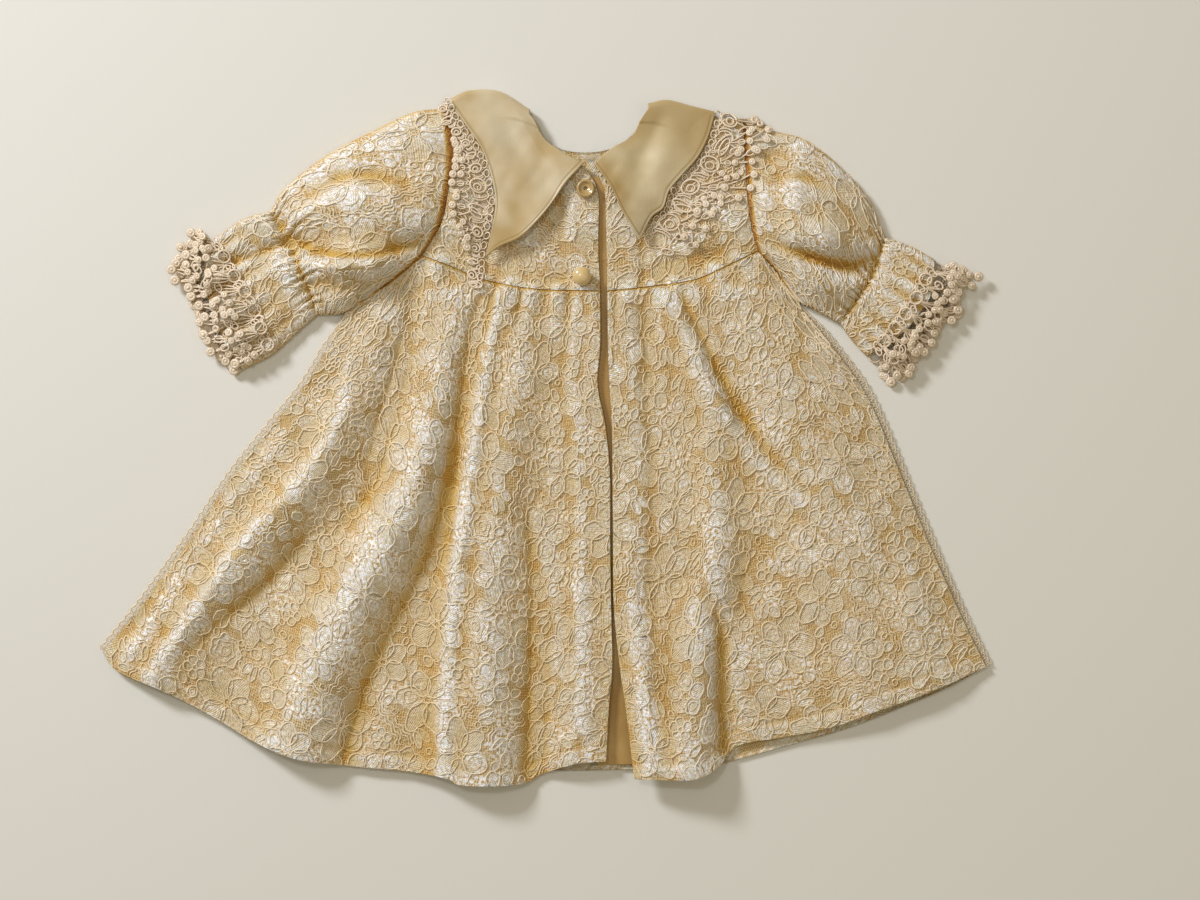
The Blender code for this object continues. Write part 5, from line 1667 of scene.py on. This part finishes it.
def guipure(node, sections, height, seed, materials):
    """One edging laid on what is under it."""
    lace = Edging(sections, height, seed)
    if node.startswith("collar"):
        collar_edging(lace)
    else:
        cuff_edging(lace)
    item = tube_mesh(node + "_cords", lace.lines, materials["guipure"])
    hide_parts(node)


def edgings(cover, over, materials):
    """The guipure along both collar halves and round both cuffs."""

    def on_dress(plan, across):
        """Just above the collar, the yoke and the sleeve heads."""
        return over.tops(plan, EDGING_REACH) + 0.15

    def on_frill(plan, across):
        """Just above the frill, and bending down beyond its edge."""
        tops = cover.tops(plan, EDGING_REACH)
        drop = 7.5 - 5.0 * smooth((across - 0.45) / 0.55)
        return np.where(tops > 1.0, tops + 0.2, drop)

    def on_floor(plan, across):
        """On the floor, behind the cuff."""
        return np.full(len(plan), 0.35)

    for name, seed in (("collar_lace_left", 503), ("collar_lace_right", 509)):
        guipure(name, LACE_SECTIONS[name], on_dress, seed, materials)
    for name, sleeve, seed in (("cuff_lace_left", LEFT_SLEEVE, 521),
                               ("cuff_lace_right", RIGHT_SLEEVE, 523)):
        sections = np.array(LACE_SECTIONS[name])
        guipure(name + "_front", sections, on_frill, seed, materials)
        end = smooth_line(sleeve["end"], len(sections))
        behind = np.hstack([end, end + CUFF_BEHIND * (sections[:, 2:] - end)])
        guipure(name + "_back", behind, on_floor, seed + 7, materials)


def turned(name, node, place, cover, profile, material):
    """A button from a profile of radius and height, laid on the dress."""
    steps = 48
    base = cover.top(*place, BUTTON_RADIUS) + SEAM
    turns = full_turn(steps)
    circle = np.column_stack([np.cos(turns), np.sin(turns)])
    points = np.stack([with_height(circle * radius + place, base + height) for radius, height in profile])
    item = object_from(name, points, grid_faces(len(profile), steps, True), material)
    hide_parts(node)


def buttons(cover, materials):
    """The pearl above the yoke seam and the rimmed button at the neck."""
    turns = np.radians(np.arange(-72, 90, 9))
    pearl = np.column_stack([BUTTON_RADIUS * np.cos(turns), 3.4 + 3.2 * np.sin(turns)])
    pearl = [(0.01, 0.0), *pearl, (0.01, 6.6)]
    turned("pearl_bead", "pearl_button", PEARL_PLACE, cover, pearl, materials["pearl"])
    turned("ring_disc", "ring_button", RING_PLACE, cover, RING_PROFILE, materials["shell"])


def stage_and_camera():
    """Pale floor, soft light from the upper left, and a camera straight above."""
    scene = bpy.context.scene
    scene.view_settings.view_transform = "Standard"
    bpy.ops.mesh.primitive_plane_add(size=6.0, location=(0.0, 0.0, -0.0005))
    floor = bpy.context.object
    floor.name = "floor"
    material, tree, shader = node_material("pale_floor")
    set_shader(tree, shader, base_color=(0.76, 0.78, 0.80), roughness=0.9)
    floor.data.materials.append(material)
    camera_data = bpy.data.cameras.new("camera")
    camera_data.sensor_width = SENSOR
    camera_data.lens = SENSOR * VIEW_DISTANCE / VIEW_WIDTH
    camera = bpy.data.objects.new("camera", camera_data)
    camera.location = ((VIEW_CENTRE[0] - MIDDLE_X) * MM, VIEW_CENTRE[1] * MM, VIEW_DISTANCE)
    scene.collection.objects.link(camera)
    scene.camera = camera
    for name, place, size, power, colour in LIGHTS:
        light = bpy.data.lights.new(name, "AREA")
        light.size = size
        light.energy = power
        light.color = colour
        item = bpy.data.objects.new(name, light)
        item.location = place
        item.rotation_euler = (-Vector(place)).to_track_quat("-Z", "Y").to_euler()
        scene.collection.objects.link(item)
    world = bpy.data.worlds.new("studio")
    world.use_nodes = True
    background = world.node_tree.nodes["Background"]
    plug(world.node_tree, background.inputs["Color"], (1.0, 0.82, 0.50))
    plug(world.node_tree, background.inputs["Strength"], 0.25)
    scene.world = world


def main():
    stage_and_camera()
    materials = {
        "lace": lace_material(),
        "cord": cord_material("lace_cord", (0.92, 0.85, 0.68), (0.68, 0.54, 0.29), 0.4),
        "guipure": cord_material("guipure_cord", (0.95, 0.88, 0.72), (0.58, 0.42, 0.22), 0.28),
        "collar_left": satin_material("collar_satin", (0.73, 0.69, 0.57), (0.46, 0.33, 0.14), 0.4),
        "collar_right": satin_material("shaded_collar_satin", (0.72, 0.66, 0.49),
                                       (0.38, 0.26, 0.09), 0.5),
        "facing": satin_material("facing_satin", (0.66, 0.48, 0.22), (0.40, 0.24, 0.07), 0.42),
        "pearl": gloss_material("pearl", (0.66, 0.51, 0.26), 0.14),
        "shell": gloss_material("button_shell", (0.44, 0.31, 0.13), 0.3),
    }
    sheets = back_panels(materials) + front_panels(materials)
    sheets.append(sleeve_piece("sleeve_left", LEFT_SLEEVE, 307, materials))
    sheets.append(sleeve_piece("sleeve_right", RIGHT_SLEEVE, 331, materials))
    facing_piece(materials)
    cloths = [entry[0] for entry in sheets if not entry[0].name.startswith("back_")]
    cover = Cover(cloths)
    collars = [collar_piece("collar_left", LEFT_COLLAR, cover, 401, materials),
               collar_piece("collar_right", RIGHT_COLLAR, cover, 409, materials)]
    edgings(cover, Cover(cloths + collars), materials)
    buttons(cover, materials)


main()
